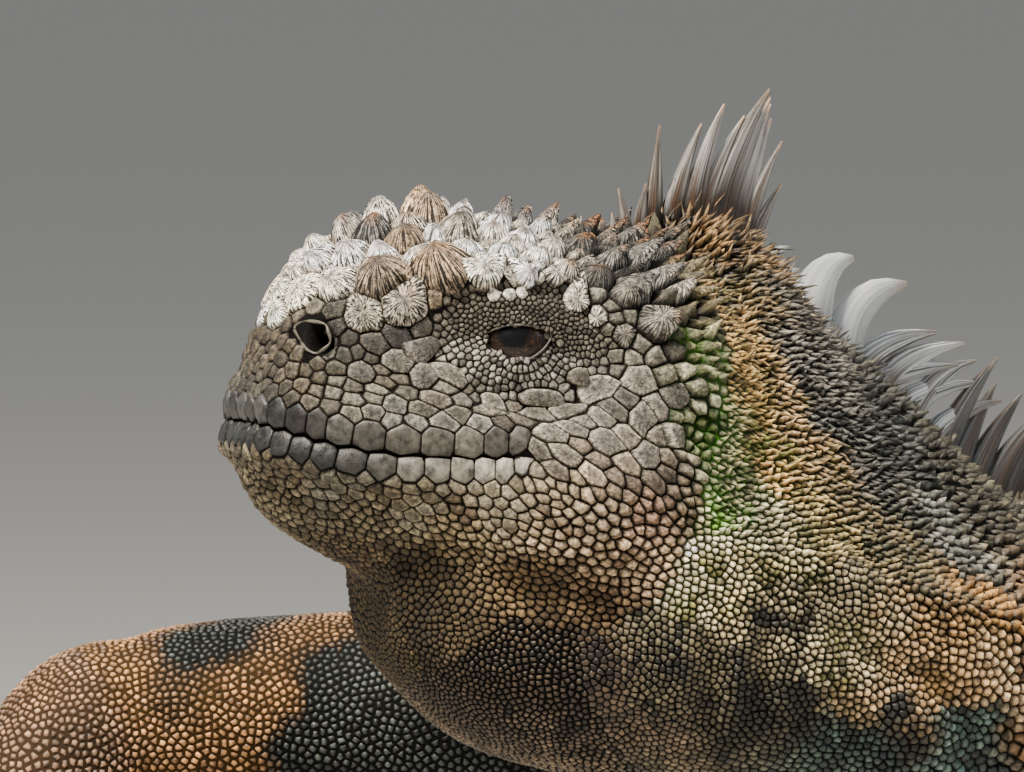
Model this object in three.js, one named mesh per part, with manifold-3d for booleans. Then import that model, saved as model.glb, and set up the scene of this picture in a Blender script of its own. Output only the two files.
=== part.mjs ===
// A life-size marine iguana, an adult male, resting on its belly with the chest raised on the
// forelegs and the head turned to its right. Millimetres, +Z up. The head points to -X and the
// tail to +X. The origin is on the flat that the belly rests on, between chest and waist.
import * as THREE from "three";
import { mergeVertices } from "three/addons/utils/BufferGeometryUtils.js";
import Module from "manifold-3d";

const wasm = await Module();
wasm.setup();

// Driving dimensions
const EYE_LEVEL = 111;
const HEAD_YAW = THREE.MathUtils.degToRad(40);
const HEAD_PITCH = THREE.MathUtils.degToRad(8);
const HEAD_X = -148;
const HEAD_Y = 23;
const GAP = 0.3;
const MERGE = 1e-3;
const UP = new THREE.Vector3(0, 0, 1);

// Body sections from the throat to the tip of the tail: the centre, the half width, how far the
// section reaches above and below its centre, and how narrow it is towards the crest.
const BODY = [
  [-160, 33, 86, 12.5, 11, 18, 1],
  [-149, 24, 83, 21, 23, 28, 1.1],
  [-129, 8, 84, 29, 43, 37, 2],
  [-112, 2.3, 79, 35, 47, 39, 3],
  [-102.5, 0.5, 75, 38, 39.5, 38, 3.1],
  [-87, 0, 69, 41, 37, 36, 2.9],
  [-53, 0, 52, 45, 34.5, 36, 1.7],
  [-10, 0, 45, 50, 41, 45.6, 1.2],
  [32, 0, 43, 52, 42, 44, 1],
  [72, 0, 41, 49, 42, 42.4, 1],
  [110, 0, 38, 41, 38, 39, 1.05],
  [140, 0, 35, 32, 34, 34.5, 1.1],
  [165, 0, 32, 25, 30, 30.5, 1.15],
  [202, -3, 28, 18.5, 26.5, 26.7, 1.15],
  [247, -11, 25, 14, 24, 24, 1.15],
  [302, -26, 22, 11, 22, 22.2, 1.15],
  [362, -43, 20, 9, 20, 20.6, 1.15],
  [427, -55, 18, 7.4, 18, 18.6, 1.1],
  [492, -56, 15.5, 6, 15.5, 16.1, 1.1],
  [556, -45, 12.5, 4.6, 12.5, 13.1, 1],
  [615, -24, 9.3, 3.4, 9.2, 9.9, 1],
  [663, 3, 5.8, 2.2, 5.4, 6.3, 1],
  [690, 25, 2.6, 1.1, 2.1, 2.6, 1],
];
const FLANK_SLOPE = 0.13;
const BELLY_FLAT = 0.72;
const BODY_SIDES = 18;
const HEAD_END = 2.25;
const NECK_END = 5.1;
const TAIL_START = 12;
const TAIL_CUTS = [14.3, 16.2, 17.9, 19.5];

// Head sections in the head's own frame, with x forward from the eyes and z up: x, top, bottom,
// and the half widths at the brow, the eye, the mouth and the jaw.
const HEAD = [
  [31.6, -5, -21, 3.5, 6, 6.5, 4],
  [30.8, -0.8, -23.2, 6, 9.3, 10, 7],
  [29, 3.9, -25.8, 8, 12.2, 13.2, 8.5],
  [26, 8.8, -28.6, 10.6, 14.8, 16.2, 10.5],
  [20, 13.6, -31.5, 13.8, 17.4, 18.8, 13.2],
  [10, 16.8, -34.5, 17.6, 20, 21.8, 17],
  [0, 17.4, -36.5, 20, 21.2, 24, 20.5],
  [-10, 17.4, -38, 20.2, 23.4, 26.6, 23.5],
  [-20, 17.6, -38, 19.4, 24.6, 27.6, 24.5],
  [-30, 16, -36, 17, 23.5, 26.5, 24],
  [-38, 8, -30, 12, 17, 20, 18],
];
const HEAD_SHARE = { brow: 0.86, eye: 0.67, mouth: 0.37, jaw: 0.14 };
const HEAD_SIDES = 26;
const HEAD_RINGS = 17;
const SNOUT_END = 32;
const MOUTH_LINE = [[33, -14.8], [25, -16.3], [16, -16.8], [6, -16], [-4, -14.3]];
const LIP_SIDES = 2;
const EYE = { x: -0.8, y: 16.4, z: 0.4, radius: 6.6, lid: 8.1 };
const NOSTRIL = { x: 26.5, z: -2.6, radius: 2.3, rim: 3.2 };
const EAR = { x: -24.5, z: -7, long: 5, wide: 3.5 };

// Limb sections from the trunk outwards: the centre, the half width across and the half height.
const RIGHT_ARM = {
  upper: [[-80, 14, 55, 22, 22], [-94, 40, 56, 18.5, 19], [-110, 66, 57, 15, 15],
    [-126, 89, 56, 13, 13.5], [-132, 98, 54, 8, 9]],
  lower: [[-127, 88, 58, 8, 9], [-134, 97, 54, 12.5, 13], [-146, 104, 38, 11, 11],
    [-155, 108, 22, 8.5, 9], [-160, 110, 10, 8, 8], [-162, 111, 6, 5, 5]],
  wrist: [-161, 110.5], heading: 150,
};
const LEFT_ARM = {
  upper: [[-78, -16, 52, 22, 22], [-82, -42, 53, 18.5, 19], [-80, -67, 51.5, 14.5, 15],
    [-75, -90, 48, 12.5, 13], [-73, -98, 45, 8, 9]],
  lower: [[-72, -88, 50, 8, 9], [-77, -95, 45, 12, 12], [-89, -101, 33, 11, 11],
    [-100, -106, 20, 8.5, 9], [-107, -109, 10, 8, 8], [-110, -110, 6, 5, 5]],
  wrist: [-108, -109.5], heading: 196,
};
const HIND_LEG = {
  upper: [[134, 12, 37, 25, 23], [120, 37, 37, 22, 22], [102, 62, 36, 17.5, 18],
    [85, 84, 35, 13, 14], [80, 91, 34, 8, 9]],
  lower: [[80, 83, 36, 8, 9], [86, 90, 33, 12.5, 12], [104, 99, 26, 12, 12],
    [122, 107, 17, 8.5, 9], [133, 111, 9, 7.5, 8], [137, 112, 6, 5, 5]],
  wrist: [134, 111.5], heading: 160,
};
const LIMB_SIDES = 10;
const FINGERS = [[-58, 12], [-27, 19], [-3, 23], [21, 22], [52, 15]];
const TOES = [[-36, 15], [-18, 25], [-2, 35], [15, 42], [44, 26]];
const HAND = { palm: 13, half: 9.5, finger: 3.1 };
const FOOT = { palm: 26, half: 10.5, finger: 3.4 };
const CLAW = { length: 8.5, radius: 1.8 };
const DIGIT_END = 3.7;

// The crest: where a spine stands along the body sections, its height and how far it leans back.
const CREST = [
  { from: 1.55, to: 1.93, step: 3.2, tall: [3.5, 7.5], lean: 2, foot: 2.8 },
  { from: 2.03, to: 3.25, step: 3.6, tall: [13, 15.5], lean: 5, foot: 3.1 },
  { from: 3.5, to: 6, step: 5, tall: [11, 15], lean: 14, foot: 4.2 },
  { from: 6.06, to: 12, step: 6.6, tall: [12, 7], lean: 30, foot: 4.6 },
  { from: 12.12, to: 21.6, step: 9.4, tall: [7.5, 2.2], lean: 38, foot: 4.4 },
];
const SPINE_SIDES = 4;
const SPINE_ROOT = 2.6;

// Boss and nape scutes on the head: rows by the head's x, with the place on the section from 0
// on the midline to 1 at the brow, the half size and the height.
const BOSSES = [
  { x: 28.2, at: [-0.8, 0, 0.8], half: 3.2, tall: 1.7 },
  { x: 23.8, at: [-1.3, -0.5, 0.5, 1.3], half: 3.9, tall: 2.6 },
  { x: 18.2, at: [-1.2, -0.6, 0, 0.6, 1.2], half: 4.3, tall: 3.4 },
  { x: 12, at: [-1.1, -0.66, -0.22, 0.22, 0.66, 1.1], half: 4.1, tall: 3.4 },
  { x: 5.8, at: [-0.9, -0.45, 0, 0.45, 0.9], half: 3.9, tall: 3 },
  { x: -0.4, at: [-0.72, -0.24, 0.24, 0.72], half: 3.6, tall: 2.6 },
  { x: -6.4, at: [-1, -0.5, 0, 0.5, 1], half: 3.3, tall: 2.6 },
  { x: -12.4, at: [-1.35, -0.85, -0.35, 0.35, 0.85, 1.35], half: 2.9, tall: 3.2 },
  { x: -18.4, at: [-1.5, -1, -0.55, 0.55, 1, 1.5], half: 2.7, tall: 4 },
  { x: -24.2, at: [-1.25, -0.8, 0.8, 1.25], half: 2.5, tall: 4 },
];
const BOSS_SINK = 1.6;
const BOSS_TOP = 0.3;

// Materials
const skinGrey = new THREE.MeshStandardMaterial({ color: 0x6f6b63, roughness: 0.8 });
const skinRust = new THREE.MeshStandardMaterial({ color: 0x8a6844, roughness: 0.82 });
const horn = new THREE.MeshStandardMaterial({ color: 0x2c2926, roughness: 0.5 });
const eyeball = new THREE.MeshStandardMaterial({ color: 0x1d1712, roughness: 0.08 });

const HEAD_FRAME = new THREE.Matrix4()
  .makeTranslation(HEAD_X, HEAD_Y, EYE_LEVEL)
  .multiply(new THREE.Matrix4().makeRotationZ(Math.PI - HEAD_YAW))
  .multiply(new THREE.Matrix4().makeRotationY(-HEAD_PITCH));

// Solids from geometry
function solidOf(geometry) {
  const bare = new THREE.BufferGeometry();
  bare.setAttribute("position", geometry.getAttribute("position").clone());
  if (geometry.index) bare.setIndex(geometry.index.clone());
  const merged = mergeVertices(bare, MERGE);
  const triVerts = new Uint32Array(merged.index.array);
  const vertProperties = new Float32Array(merged.attributes.position.array);
  const made = new wasm.Manifold(new wasm.Mesh({ numProp: 3, vertProperties, triVerts }));
  if (made.volume() > 0) return made;
  for (let i = 0; i < triVerts.length; i += 3) {
    [triVerts[i + 1], triVerts[i + 2]] = [triVerts[i + 2], triVerts[i + 1]];
  }
  return new wasm.Manifold(new wasm.Mesh({ numProp: 3, vertProperties, triVerts }));
}

function geometryOf(solid) {
  const mesh = solid.getMesh();
  const geometry = new THREE.BufferGeometry();
  geometry.setAttribute("position", new THREE.BufferAttribute(mesh.vertProperties, 3));
  geometry.setIndex(new THREE.BufferAttribute(mesh.triVerts, 1));
  return geometry;
}

function union(solids) {
  return solids.reduce((whole, piece) => whole.add(piece));
}

function largest(solid) {
  return solid.decompose().reduce((best, s) => (s.volume() > best.volume() ? s : best));
}

// A closed surface over a sphere's net, with each point moved to place(ring, turn). The first
// and the last ring are the two ends, each drawn together to one point.
function wrap(sides, rings, place) {
  const net = new THREE.SphereGeometry(1, sides, rings);
  const points = net.getAttribute("position");
  for (let i = 0; i < points.count; i++) {
    const ring = Math.floor(i / (sides + 1));
    const turn = (i % (sides + 1)) % sides / sides;
    const at = place(ring, turn);
    points.setXYZ(i, at.x, at.y, at.z);
  }
  return net;
}

// The values of a table between its rows, on a smooth curve through them.
function between(rows, t) {
  const last = rows.length - 1;
  const i = Math.min(last - 1, Math.max(0, Math.floor(t)));
  const f = t - i;
  const row = (k) => rows[Math.min(last, Math.max(0, k))];
  return rows[0].map((_, c) => {
    const [a, b, d, e] = [row(i - 1)[c], row(i)[c], row(i + 1)[c], row(i + 2)[c]];
    const [s, m] = [(d - a) / 2, (e - b) / 2];
    return b + f * (s + f * (3 * (d - b) - 2 * s - m + f * (2 * (b - d) + s + m)));
  });
}

function evenly(from, to, count) {
  return Array.from({ length: count }, (_, i) => from + ((to - from) * i) / (count - 1));
}

// Body
function bodyPoint(t, turn, grow = 0) {
  const [x, y, z, width, above, below, ridge] = between(BODY, t);
  const [ax, ay] = between(BODY, t - 0.02);
  const [bx, by] = between(BODY, t + 0.02);
  const side = new THREE.Vector3(by - ay, ax - bx, 0).normalize();
  const c = Math.cos(turn * 2 * Math.PI);
  const s = Math.sin(turn * 2 * Math.PI);
  const out = (width + grow) * c * (1 - FLANK_SLOPE * s);
  const rise = s > 0
    ? (above + grow) * s ** ridge
    : -(below + grow) * (-s) ** BELLY_FLAT;
  return new THREE.Vector3(x, y, z + rise).addScaledVector(side, out);
}

function bodyLoft(grow = 0) {
  const stops = [
    ...evenly(0, 4.6, 10),
    ...evenly(5, TAIL_START - 0.5, 12),
    ...evenly(TAIL_START, BODY.length - 1, 20),
  ];
  const end = stops.length + 1;
  return solidOf(wrap(BODY_SIDES, end, (ring, turn) => {
    const t = stops[Math.min(stops.length - 1, Math.max(0, ring - 1))];
    if (ring > 0 && ring < end) return bodyPoint(t, turn, grow);
    const [x, y, z] = between(BODY, t);
    return new THREE.Vector3(x, y, z);
  }));
}

// Head
function headSection(x) {
  const last = HEAD.length - 1;
  let t = 0;
  while (t < last - 1 && HEAD[t + 1][0] > x) t++;
  let low = t;
  let high = t + 1;
  for (let i = 0; i < 24; i++) {
    const middle = (low + high) / 2;
    if (between(HEAD, middle)[0] > x) low = middle;
    else high = middle;
  }
  return between(HEAD, low);
}

// A point on the head: place 0 is the midline on top, 1 the brow, 2 the eye, 3 the mouth, 4 the
// jaw and 5 the midline underneath, and negative places are on the right side.
function headPoint(x, place) {
  const [, top, bottom, brow, eye, mouth, jaw] = headSection(x);
  const height = (share) => bottom + share * (top - bottom);
  const rows = [
    [-brow, height(HEAD_SHARE.brow)], [0, top], [brow, height(HEAD_SHARE.brow)],
    [eye, height(HEAD_SHARE.eye)], [mouth, height(HEAD_SHARE.mouth)],
    [jaw, height(HEAD_SHARE.jaw)], [0, bottom], [-jaw, height(HEAD_SHARE.jaw)],
  ];
  const [y, z] = between(rows, Math.abs(place) + 1);
  return new THREE.Vector3(x, place < 0 ? -y : y, z);
}

function headLoft() {
  const stops = evenly(HEAD[0][0], HEAD[HEAD.length - 1][0], HEAD_RINGS - 1)
    .map((x, i, all) => x + 3.2 * Math.sin(Math.PI * i / (all.length - 1)));
  return solidOf(wrap(HEAD_SIDES, HEAD_RINGS, (ring, turn) => {
    const x = stops[Math.min(stops.length - 1, Math.max(0, ring - 1))];
    const place = turn <= 0.5 ? turn * 10 : turn * 10 - 10;
    if (ring > 0 && ring < HEAD_RINGS) return headPoint(x, place);
    const [, top, bottom] = headSection(x);
    return new THREE.Vector3(ring === 0 ? SNOUT_END : x, 0, (top + bottom) / 2);
  }).applyMatrix4(HEAD_FRAME));
}

function inHead(geometry) {
  return solidOf(geometry.applyMatrix4(HEAD_FRAME));
}

function ball(at, radii, sides = 12, rings = 8) {
  const made = new THREE.SphereGeometry(1, sides, rings);
  return made.scale(radii[0], radii[1], radii[2]).translate(at[0], at[1], at[2]);
}

// The height of the mouth's line at a place along the head.
function mouthHeight(x) {
  let i = 0;
  while (i < MOUTH_LINE.length - 2 && MOUTH_LINE[i + 1][0] > x) i++;
  const share = (MOUTH_LINE[i][0] - x) / (MOUTH_LINE[i][0] - MOUTH_LINE[i + 1][0]);
  return between(MOUTH_LINE, Math.min(MOUTH_LINE.length - 1, Math.max(0, i + share)))[1];
}

// The path round the lips from one corner of the mouth to the other, lifted and pushed out.
function lipPath(lift, out, back) {
  const right = evenly(back, 30, 8).map((x) => {
    const p = headPoint(x, 3);
    return new THREE.Vector3(x, p.y + out, mouthHeight(x) + lift);
  });
  const front = new THREE.Vector3(SNOUT_END + out, 0, mouthHeight(SNOUT_END) + lift);
  const left = right.map((p) => new THREE.Vector3(p.x, -p.y, p.z)).reverse();
  return new THREE.CatmullRomCurve3([...right, front, ...left]);
}

function alongLips(path, halfUp, halfOut) {
  const section = new THREE.Shape();
  section.absellipse(0, 0, halfUp, halfOut, 0, 2 * Math.PI);
  const options = { steps: 14, extrudePath: path, curveSegments: LIP_SIDES };
  return new THREE.ExtrudeGeometry(section, options);
}

function mouthSlit() {
  const section = new THREE.Shape();
  section.moveTo(-0.35, -2.2);
  section.lineTo(0.35, -2.2);
  section.lineTo(0.35, 2.4);
  section.lineTo(-0.35, 2.4);
  const path = lipPath(0, 0.4, MOUTH_LINE[MOUTH_LINE.length - 1][0]);
  return inHead(new THREE.ExtrudeGeometry(section, { steps: 14, extrudePath: path }));
}

// The opening between the lids, a pointed oval pushed through from the side.
function lidOpening(side) {
  const shape = new THREE.Shape();
  shape.moveTo(-5.2, 0.3);
  shape.quadraticCurveTo(-1, 4.4, 5.2, -0.8);
  shape.quadraticCurveTo(0, -5.4, -5.2, 0.3);
  const made = new THREE.ExtrudeGeometry(shape, { depth: 14, bevelEnabled: false, curveSegments: 5 });
  made.rotateX(Math.PI / 2);
  made.translate(EYE.x, side > 0 ? EYE.y + 15 : -EYE.y - 1, EYE.z);
  return inHead(made);
}

function blunt(at, direction, half, tall, sink, sides = 5) {
  const made = new THREE.CylinderGeometry(half * BOSS_TOP, half, tall + sink, sides);
  made.translate(0, (tall + sink) / 2 - sink, 0);
  const turn = new THREE.Quaternion().setFromUnitVectors(new THREE.Vector3(0, 1, 0), direction);
  return made.applyQuaternion(turn).translate(at.x, at.y, at.z);
}

function headNormal(x, place) {
  const e = 0.4;
  const along = headPoint(x + e, place).sub(headPoint(x - e, place));
  const around = headPoint(x, place + 0.05).sub(headPoint(x, place - 0.05));
  const normal = along.cross(around).normalize();
  return normal.z < 0 ? normal.negate() : normal;
}

function bosses() {
  return BOSSES.flatMap(({ x, at, half, tall }) => at.map((place) => {
    const lean = x < -12 ? new THREE.Vector3(-0.7, 0, 0) : new THREE.Vector3(0.1, 0, 0.2);
    const direction = headNormal(x, place).add(lean).normalize();
    return inHead(blunt(headPoint(x, place), direction, half, tall, BOSS_SINK));
  }));
}

function headSolid(trunk) {
  const sides = [-1, 1];
  const swellings = sides.flatMap((s) => [
    ball([-13, s * 16.5, -19.5], [19.5, 13, 16]),
    ball([1, s * 15.5, 8.6], [12, 7.2, 4.6], 10, 6),
    ball([-2, s * 19, -9.5], [12, 5.5, 2.8], 10, 6),
    ball([EYE.x, s * EYE.y, EYE.z], [EYE.lid, EYE.lid, EYE.lid], 14, 9),
  ]).map(inHead);
  const lips = [
    inHead(alongLips(lipPath(2.9, -1.3, -5), 2.6, 2)),
    inHead(alongLips(lipPath(-3, -1.5, -5), 2.4, 2)),
  ];
  let head = union([headLoft(), trunk, ...swellings, ...lips]);
  for (const s of sides) {
    const nostril = headPoint(NOSTRIL.x, 2 * s);
    const rim = new THREE.TorusGeometry(NOSTRIL.rim, 1.1, 5, 10);
    rim.rotateX(Math.PI / 2).rotateZ(-s * 0.35).translate(NOSTRIL.x, nostril.y, NOSTRIL.z);
    const ear = headPoint(EAR.x, 2.35 * s);
    const socket = EYE.radius + GAP;
    head = head.add(inHead(rim))
      .subtract(inHead(ball([NOSTRIL.x, nostril.y, NOSTRIL.z],
        [NOSTRIL.radius, 3.6, NOSTRIL.radius * 0.8], 8, 5)))
      .subtract(lidOpening(s))
      .subtract(inHead(ball([EYE.x, s * EYE.y, EYE.z], [socket, socket, socket], 12, 8)))
      .subtract(inHead(ball([EAR.x, ear.y, EAR.z], [EAR.wide, 2.6, EAR.long], 10, 6)));
  }
  head = head.subtract(mouthSlit());
  return head.add(union(bosses()));
}

// A block that fills the side of a plane that the normal points to.
function sideOf(at, normal, clear) {
  const size = 900;
  const block = new THREE.BoxGeometry(size, size, size);
  block.translate(0, 0, size / 2 + clear);
  const turn = new THREE.Quaternion().setFromUnitVectors(UP, normal);
  return solidOf(block.applyQuaternion(turn).translate(at.x, at.y, at.z));
}

// Crest
function spine({ root, straight, outward, backward, tall, foot }) {
  const side = new THREE.Vector3().crossVectors(straight, backward).normalize();
  const tip = root.clone().addScaledVector(outward, tall).addScaledVector(backward, 0.36 * tall);
  const belly = root.clone().addScaledVector(outward, 0.55 * tall)
    .addScaledVector(backward, 0.1 * tall);
  const deep = root.clone().addScaledVector(straight, -SPINE_ROOT);
  const levels = [[deep, 0], [deep, 1], [belly, 0.66], [tip, 0]];
  return solidOf(wrap(SPINE_SIDES, levels.length - 1, (ring, turn) => {
    const [middle, size] = levels[ring];
    const angle = turn * 2 * Math.PI;
    return middle.clone().addScaledVector(backward, Math.cos(angle) * foot * 0.5 * size)
      .addScaledVector(side, Math.sin(angle) * foot * 0.22 * size);
  }));
}

function crest() {
  const spines = [];
  for (const { from, to, step, tall, lean, foot } of CREST) {
    let t = from;
    while (t <= to) {
      const root = bodyPoint(t, 0.25);
      const ahead = bodyPoint(t + 0.01, 0.25).sub(root);
      const backward = ahead.clone().normalize();
      const side = new THREE.Vector3().crossVectors(UP, backward).normalize();
      const straight = new THREE.Vector3().crossVectors(backward, side).normalize();
      const outward = straight.clone().applyAxisAngle(side, THREE.MathUtils.degToRad(lean));
      const high = tall[0] + (tall[1] - tall[0]) * (t - from) / (to - from);
      const vary = 1 + 0.1 * Math.sin(7.3 * t) + 0.06 * Math.sin(19.1 * t);
      const solid = spine({ root, straight, outward, backward, tall: high * vary, foot });
      spines.push({ t, root, solid });
      t += step / (ahead.length() / 0.01);
    }
  }
  return spines;
}

// Limbs
function tube(rows, sides, steps, grow = 0) {
  const stops = evenly(0, rows.length - 1, steps);
  return solidOf(wrap(sides, steps + 1, (ring, turn) => {
    const t = stops[Math.min(steps - 1, Math.max(0, ring - 1))];
    const [x, y, z, across, over] = between(rows, t);
    const centre = new THREE.Vector3(x, y, z);
    const a = between(rows, Math.max(0, t - 0.05));
    const b = between(rows, Math.min(rows.length - 1, t + 0.05));
    const along = new THREE.Vector3(b[0] - a[0], b[1] - a[1], b[2] - a[2]).normalize();
    if (ring === 0) return centre.addScaledVector(along, -grow);
    if (ring > steps) return centre.addScaledVector(along, grow);
    const side = new THREE.Vector3().crossVectors(along, UP).normalize();
    const top = new THREE.Vector3().crossVectors(side, along);
    const angle = turn * 2 * Math.PI;
    return centre.addScaledVector(side, Math.cos(angle) * (across + grow))
      .addScaledVector(top, Math.sin(angle) * (over + grow));
  }));
}

function heading(degrees) {
  const a = THREE.MathUtils.degToRad(degrees);
  return new THREE.Vector3(Math.cos(a), Math.sin(a), 0);
}

// The palm or sole with its digits, and the claws that stand at their ends.
function extremity(limb, digits, size, side) {
  const wrist = new THREE.Vector3(limb.wrist[0], limb.wrist[1], 0);
  const forward = heading(limb.heading);
  const row = (ahead, z, across, over) => {
    const p = wrist.clone().addScaledVector(forward, ahead);
    return [p.x, p.y, z, across, over];
  };
  const palm = tube([row(-6, 6, 4, 5), row(-3, 6.6, 7.6, 6.6), row(size.palm * 0.5, 5.4, size.half, 5.8),
    row(size.palm, 4.6, size.half * 0.95, 4.9), row(size.palm + 3.5, 4.2, size.half * 0.5, 3.2)], 8, 6);
  const pieces = [palm];
  const claws = [];
  digits.forEach(([spread, long], i) => {
    const toward = heading(limb.heading + side * spread);
    const across = new THREE.Vector3(-forward.y, forward.x, 0);
    const set = (i - 2) / 2 * (size.half - size.finger) * side;
    const back = i === 4 ? size.palm * 0.45 : size.palm * 0.82;
    const base = wrist.clone().addScaledVector(forward, back).addScaledVector(across, set);
    const step = (share, z, radius) => {
      const p = base.clone().addScaledVector(toward, share * long);
      return [p.x, p.y, z, radius, radius];
    };
    const r = size.finger;
    pieces.push(tube([step(-0.1, 4.4, r), step(0.3, 5.6, r), step(0.6, 5.2, r * 0.9),
      step(0.84, DIGIT_END, r * 0.86), step(1, DIGIT_END, r * 0.66)], 5, 4));
    const tip = base.clone().addScaledVector(toward, long + GAP);
    const claw = (ahead, z, radius) => {
      const p = tip.clone().addScaledVector(toward, ahead);
      return [p.x, p.y, z, radius * 0.8, radius];
    };
    claws.push(tube([claw(0, DIGIT_END, CLAW.radius), claw(CLAW.length * 0.35, DIGIT_END, CLAW.radius * 0.8),
      claw(CLAW.length * 0.75, DIGIT_END * 0.75, CLAW.radius * 0.5), claw(CLAW.length, 0.7, 0.2)], 5, 4));
  });
  return { hand: union(pieces), claws };
}

// Assembly
const group = new THREE.Group();

function addNode(name, solid, material) {
  const mesh = new THREE.Mesh(geometryOf(solid), material);
  mesh.name = name;
  group.add(mesh);
}

const floor = solidOf(new THREE.BoxGeometry(1200, 600, 40).translate(200, 0, -20));
const trunk = bodyLoft();
const clearOfTrunk = bodyLoft(GAP);
const whole = headSolid(trunk).subtract(floor);

// A cut across the body midway between the two crest spines on either side of a section.
const spines = crest();

function cutAt(section, normal) {
  const before = spines.filter(({ t }) => t < section).at(-1);
  const after = spines.find(({ t }) => t >= section);
  const t = (before.t + after.t) / 2;
  const ahead = bodyPoint(t + 0.02, 0.25).sub(bodyPoint(t - 0.02, 0.25)).setZ(0);
  return { at: bodyPoint(t, 0.25), normal: normal ?? ahead.normalize() };
}

const headBack = new THREE.Vector3(Math.cos(HEAD_YAW), -Math.sin(HEAD_YAW), 0);
const neckSlope = new THREE.Vector3(0.9, 0, -0.44).normalize();
const lengths = ["head", "neck", "torso", "tail_base", "tail_front", "tail_middle", "tail_rear",
  "tail_tip"];
const cuts = [cutAt(HEAD_END, headBack), cutAt(NECK_END, neckSlope), cutAt(TAIL_START),
  ...TAIL_CUTS.map((section) => cutAt(section))];
let rest = whole;
lengths.forEach((name, i) => {
  let flesh = rest;
  if (i < cuts.length) {
    const { at, normal } = cuts[i];
    flesh = rest.intersect(sideOf(at, normal.clone().negate(), GAP / 2));
    rest = rest.intersect(sideOf(at, normal, GAP / 2));
  }
  const mine = spines.filter(({ root }) => {
    const past = cuts.filter(({ at, normal }) => root.clone().sub(at).dot(normal) > 0).length;
    return past === i;
  });
  const solid = largest(union([flesh, ...mine.map((s) => s.solid)]));
  addNode(name, solid, name === "head" ? skinGrey : skinRust);
});

for (const [side, s] of [["left", 1], ["right", -1]]) {
  const eye = ball([EYE.x, s * EYE.y, EYE.z], [EYE.radius, EYE.radius, EYE.radius], 12, 8);
  addNode(`eye_${side}`, inHead(eye), eyeball);
}

const mirrored = (rows) => rows.map(([x, y, ...more]) => [x, -y, ...more]);
const limbs = [
  { name: "right", arm: true, side: -1, ...RIGHT_ARM },
  { name: "left", arm: true, side: 1, ...LEFT_ARM },
  { name: "right", arm: false, side: -1, ...HIND_LEG },
  { name: "left", arm: false, side: 1, upper: mirrored(HIND_LEG.upper), lower: mirrored(HIND_LEG.lower),
    wrist: [HIND_LEG.wrist[0], -HIND_LEG.wrist[1]], heading: 360 - HIND_LEG.heading },
];
for (const limb of limbs) {
  const [upperName, lowerName, endName] = limb.arm
    ? ["upper_arm", "forearm", "hand"] : ["thigh", "shank", "foot"];
  const upper = largest(tube(limb.upper, LIMB_SIDES, 9).subtract(clearOfTrunk).subtract(floor));
  const grown = tube(limb.upper, LIMB_SIDES, 9, GAP);
  const lower = largest(tube(limb.lower, LIMB_SIDES, 10).subtract(grown).subtract(clearOfTrunk)
    .subtract(floor));
  const { hand, claws } = extremity(limb, limb.arm ? FINGERS : TOES, limb.arm ? HAND : FOOT, -limb.side);
  const end = largest(hand.subtract(tube(limb.lower, LIMB_SIDES, 10, GAP)).subtract(floor));
  addNode(`${upperName}_${limb.name}`, upper, skinRust);
  addNode(`${lowerName}_${limb.name}`, lower, skinRust);
  addNode(`${endName}_${limb.name}`, end, skinGrey);
  claws.forEach((claw, i) => addNode(`claw_${endName}_${limb.name}_${i + 1}`, claw, horn));
}

export default group;
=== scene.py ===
# The looks of a life-size marine iguana, an adult male resting with its chest raised and its
# head turned to its right. Sizes are in millimetres where they are typed, as in the part's
# source, and in metres in Blender.
import math
import bmesh
import bpy
import numpy as np
from mathutils import Matrix, Vector
from mathutils.bvhtree import BVHTree
from mathutils.kdtree import KDTree


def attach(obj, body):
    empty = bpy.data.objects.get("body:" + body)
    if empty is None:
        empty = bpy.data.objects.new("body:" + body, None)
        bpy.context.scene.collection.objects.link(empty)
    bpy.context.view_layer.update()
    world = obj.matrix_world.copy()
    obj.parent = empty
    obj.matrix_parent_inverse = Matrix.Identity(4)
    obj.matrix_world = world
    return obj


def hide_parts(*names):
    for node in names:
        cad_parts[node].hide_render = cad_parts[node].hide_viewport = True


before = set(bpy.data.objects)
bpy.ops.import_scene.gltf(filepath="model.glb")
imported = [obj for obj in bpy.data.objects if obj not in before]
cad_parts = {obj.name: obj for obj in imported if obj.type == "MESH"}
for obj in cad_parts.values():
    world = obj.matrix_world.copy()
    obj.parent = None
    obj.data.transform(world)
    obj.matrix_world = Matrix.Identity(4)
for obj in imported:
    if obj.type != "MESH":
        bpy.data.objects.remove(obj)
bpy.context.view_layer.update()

# The room: a pale floor that runs to the horizon, a soft sky and one large lamp high on the
# left of the camera, with a weak one behind, as under a bright overcast sky. The camera stands
# 2.1 m off, level with the animal's face, with a long lens.
MM = 0.001
FLOOR_RADIUS = 30.0
FLOOR_COLOUR = "#b9b6b0"
SKY_COLOUR = "#cfd3d6"
SKY_STRENGTH = 0.62
LOOK_AT = Vector((-139.2, 22.4, 104.8)) * MM
CAMERA_AZIMUTH = -57.0
CAMERA_ELEVATION = 2.0
CAMERA_DISTANCE = 2.1
VIEW_WIDTH = 0.1423
SENSOR = 36.0
NEAR_CLIP, FAR_CLIP = 0.05, 100
LAMPS = {
    "key": {"azimuth": -92, "elevation": 58, "distance": 1.5, "size": 0.34, "power": 66, "colour": "#fff6ea"},
    "fill": {"azimuth": 20, "elevation": 35, "distance": 2.0, "size": 1.2, "power": 9, "colour": "#e9f0fb"},
}


def linear(hex_colour):
    """An sRGB hex colour as linear red, green, blue and 1."""
    parts = [int(hex_colour[i:i + 2], 16) / 255 for i in (1, 3, 5)]
    return [c / 12.92 if c <= 0.04045 else ((c + 0.055) / 1.055) ** 2.4 for c in parts] + [1]


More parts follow.
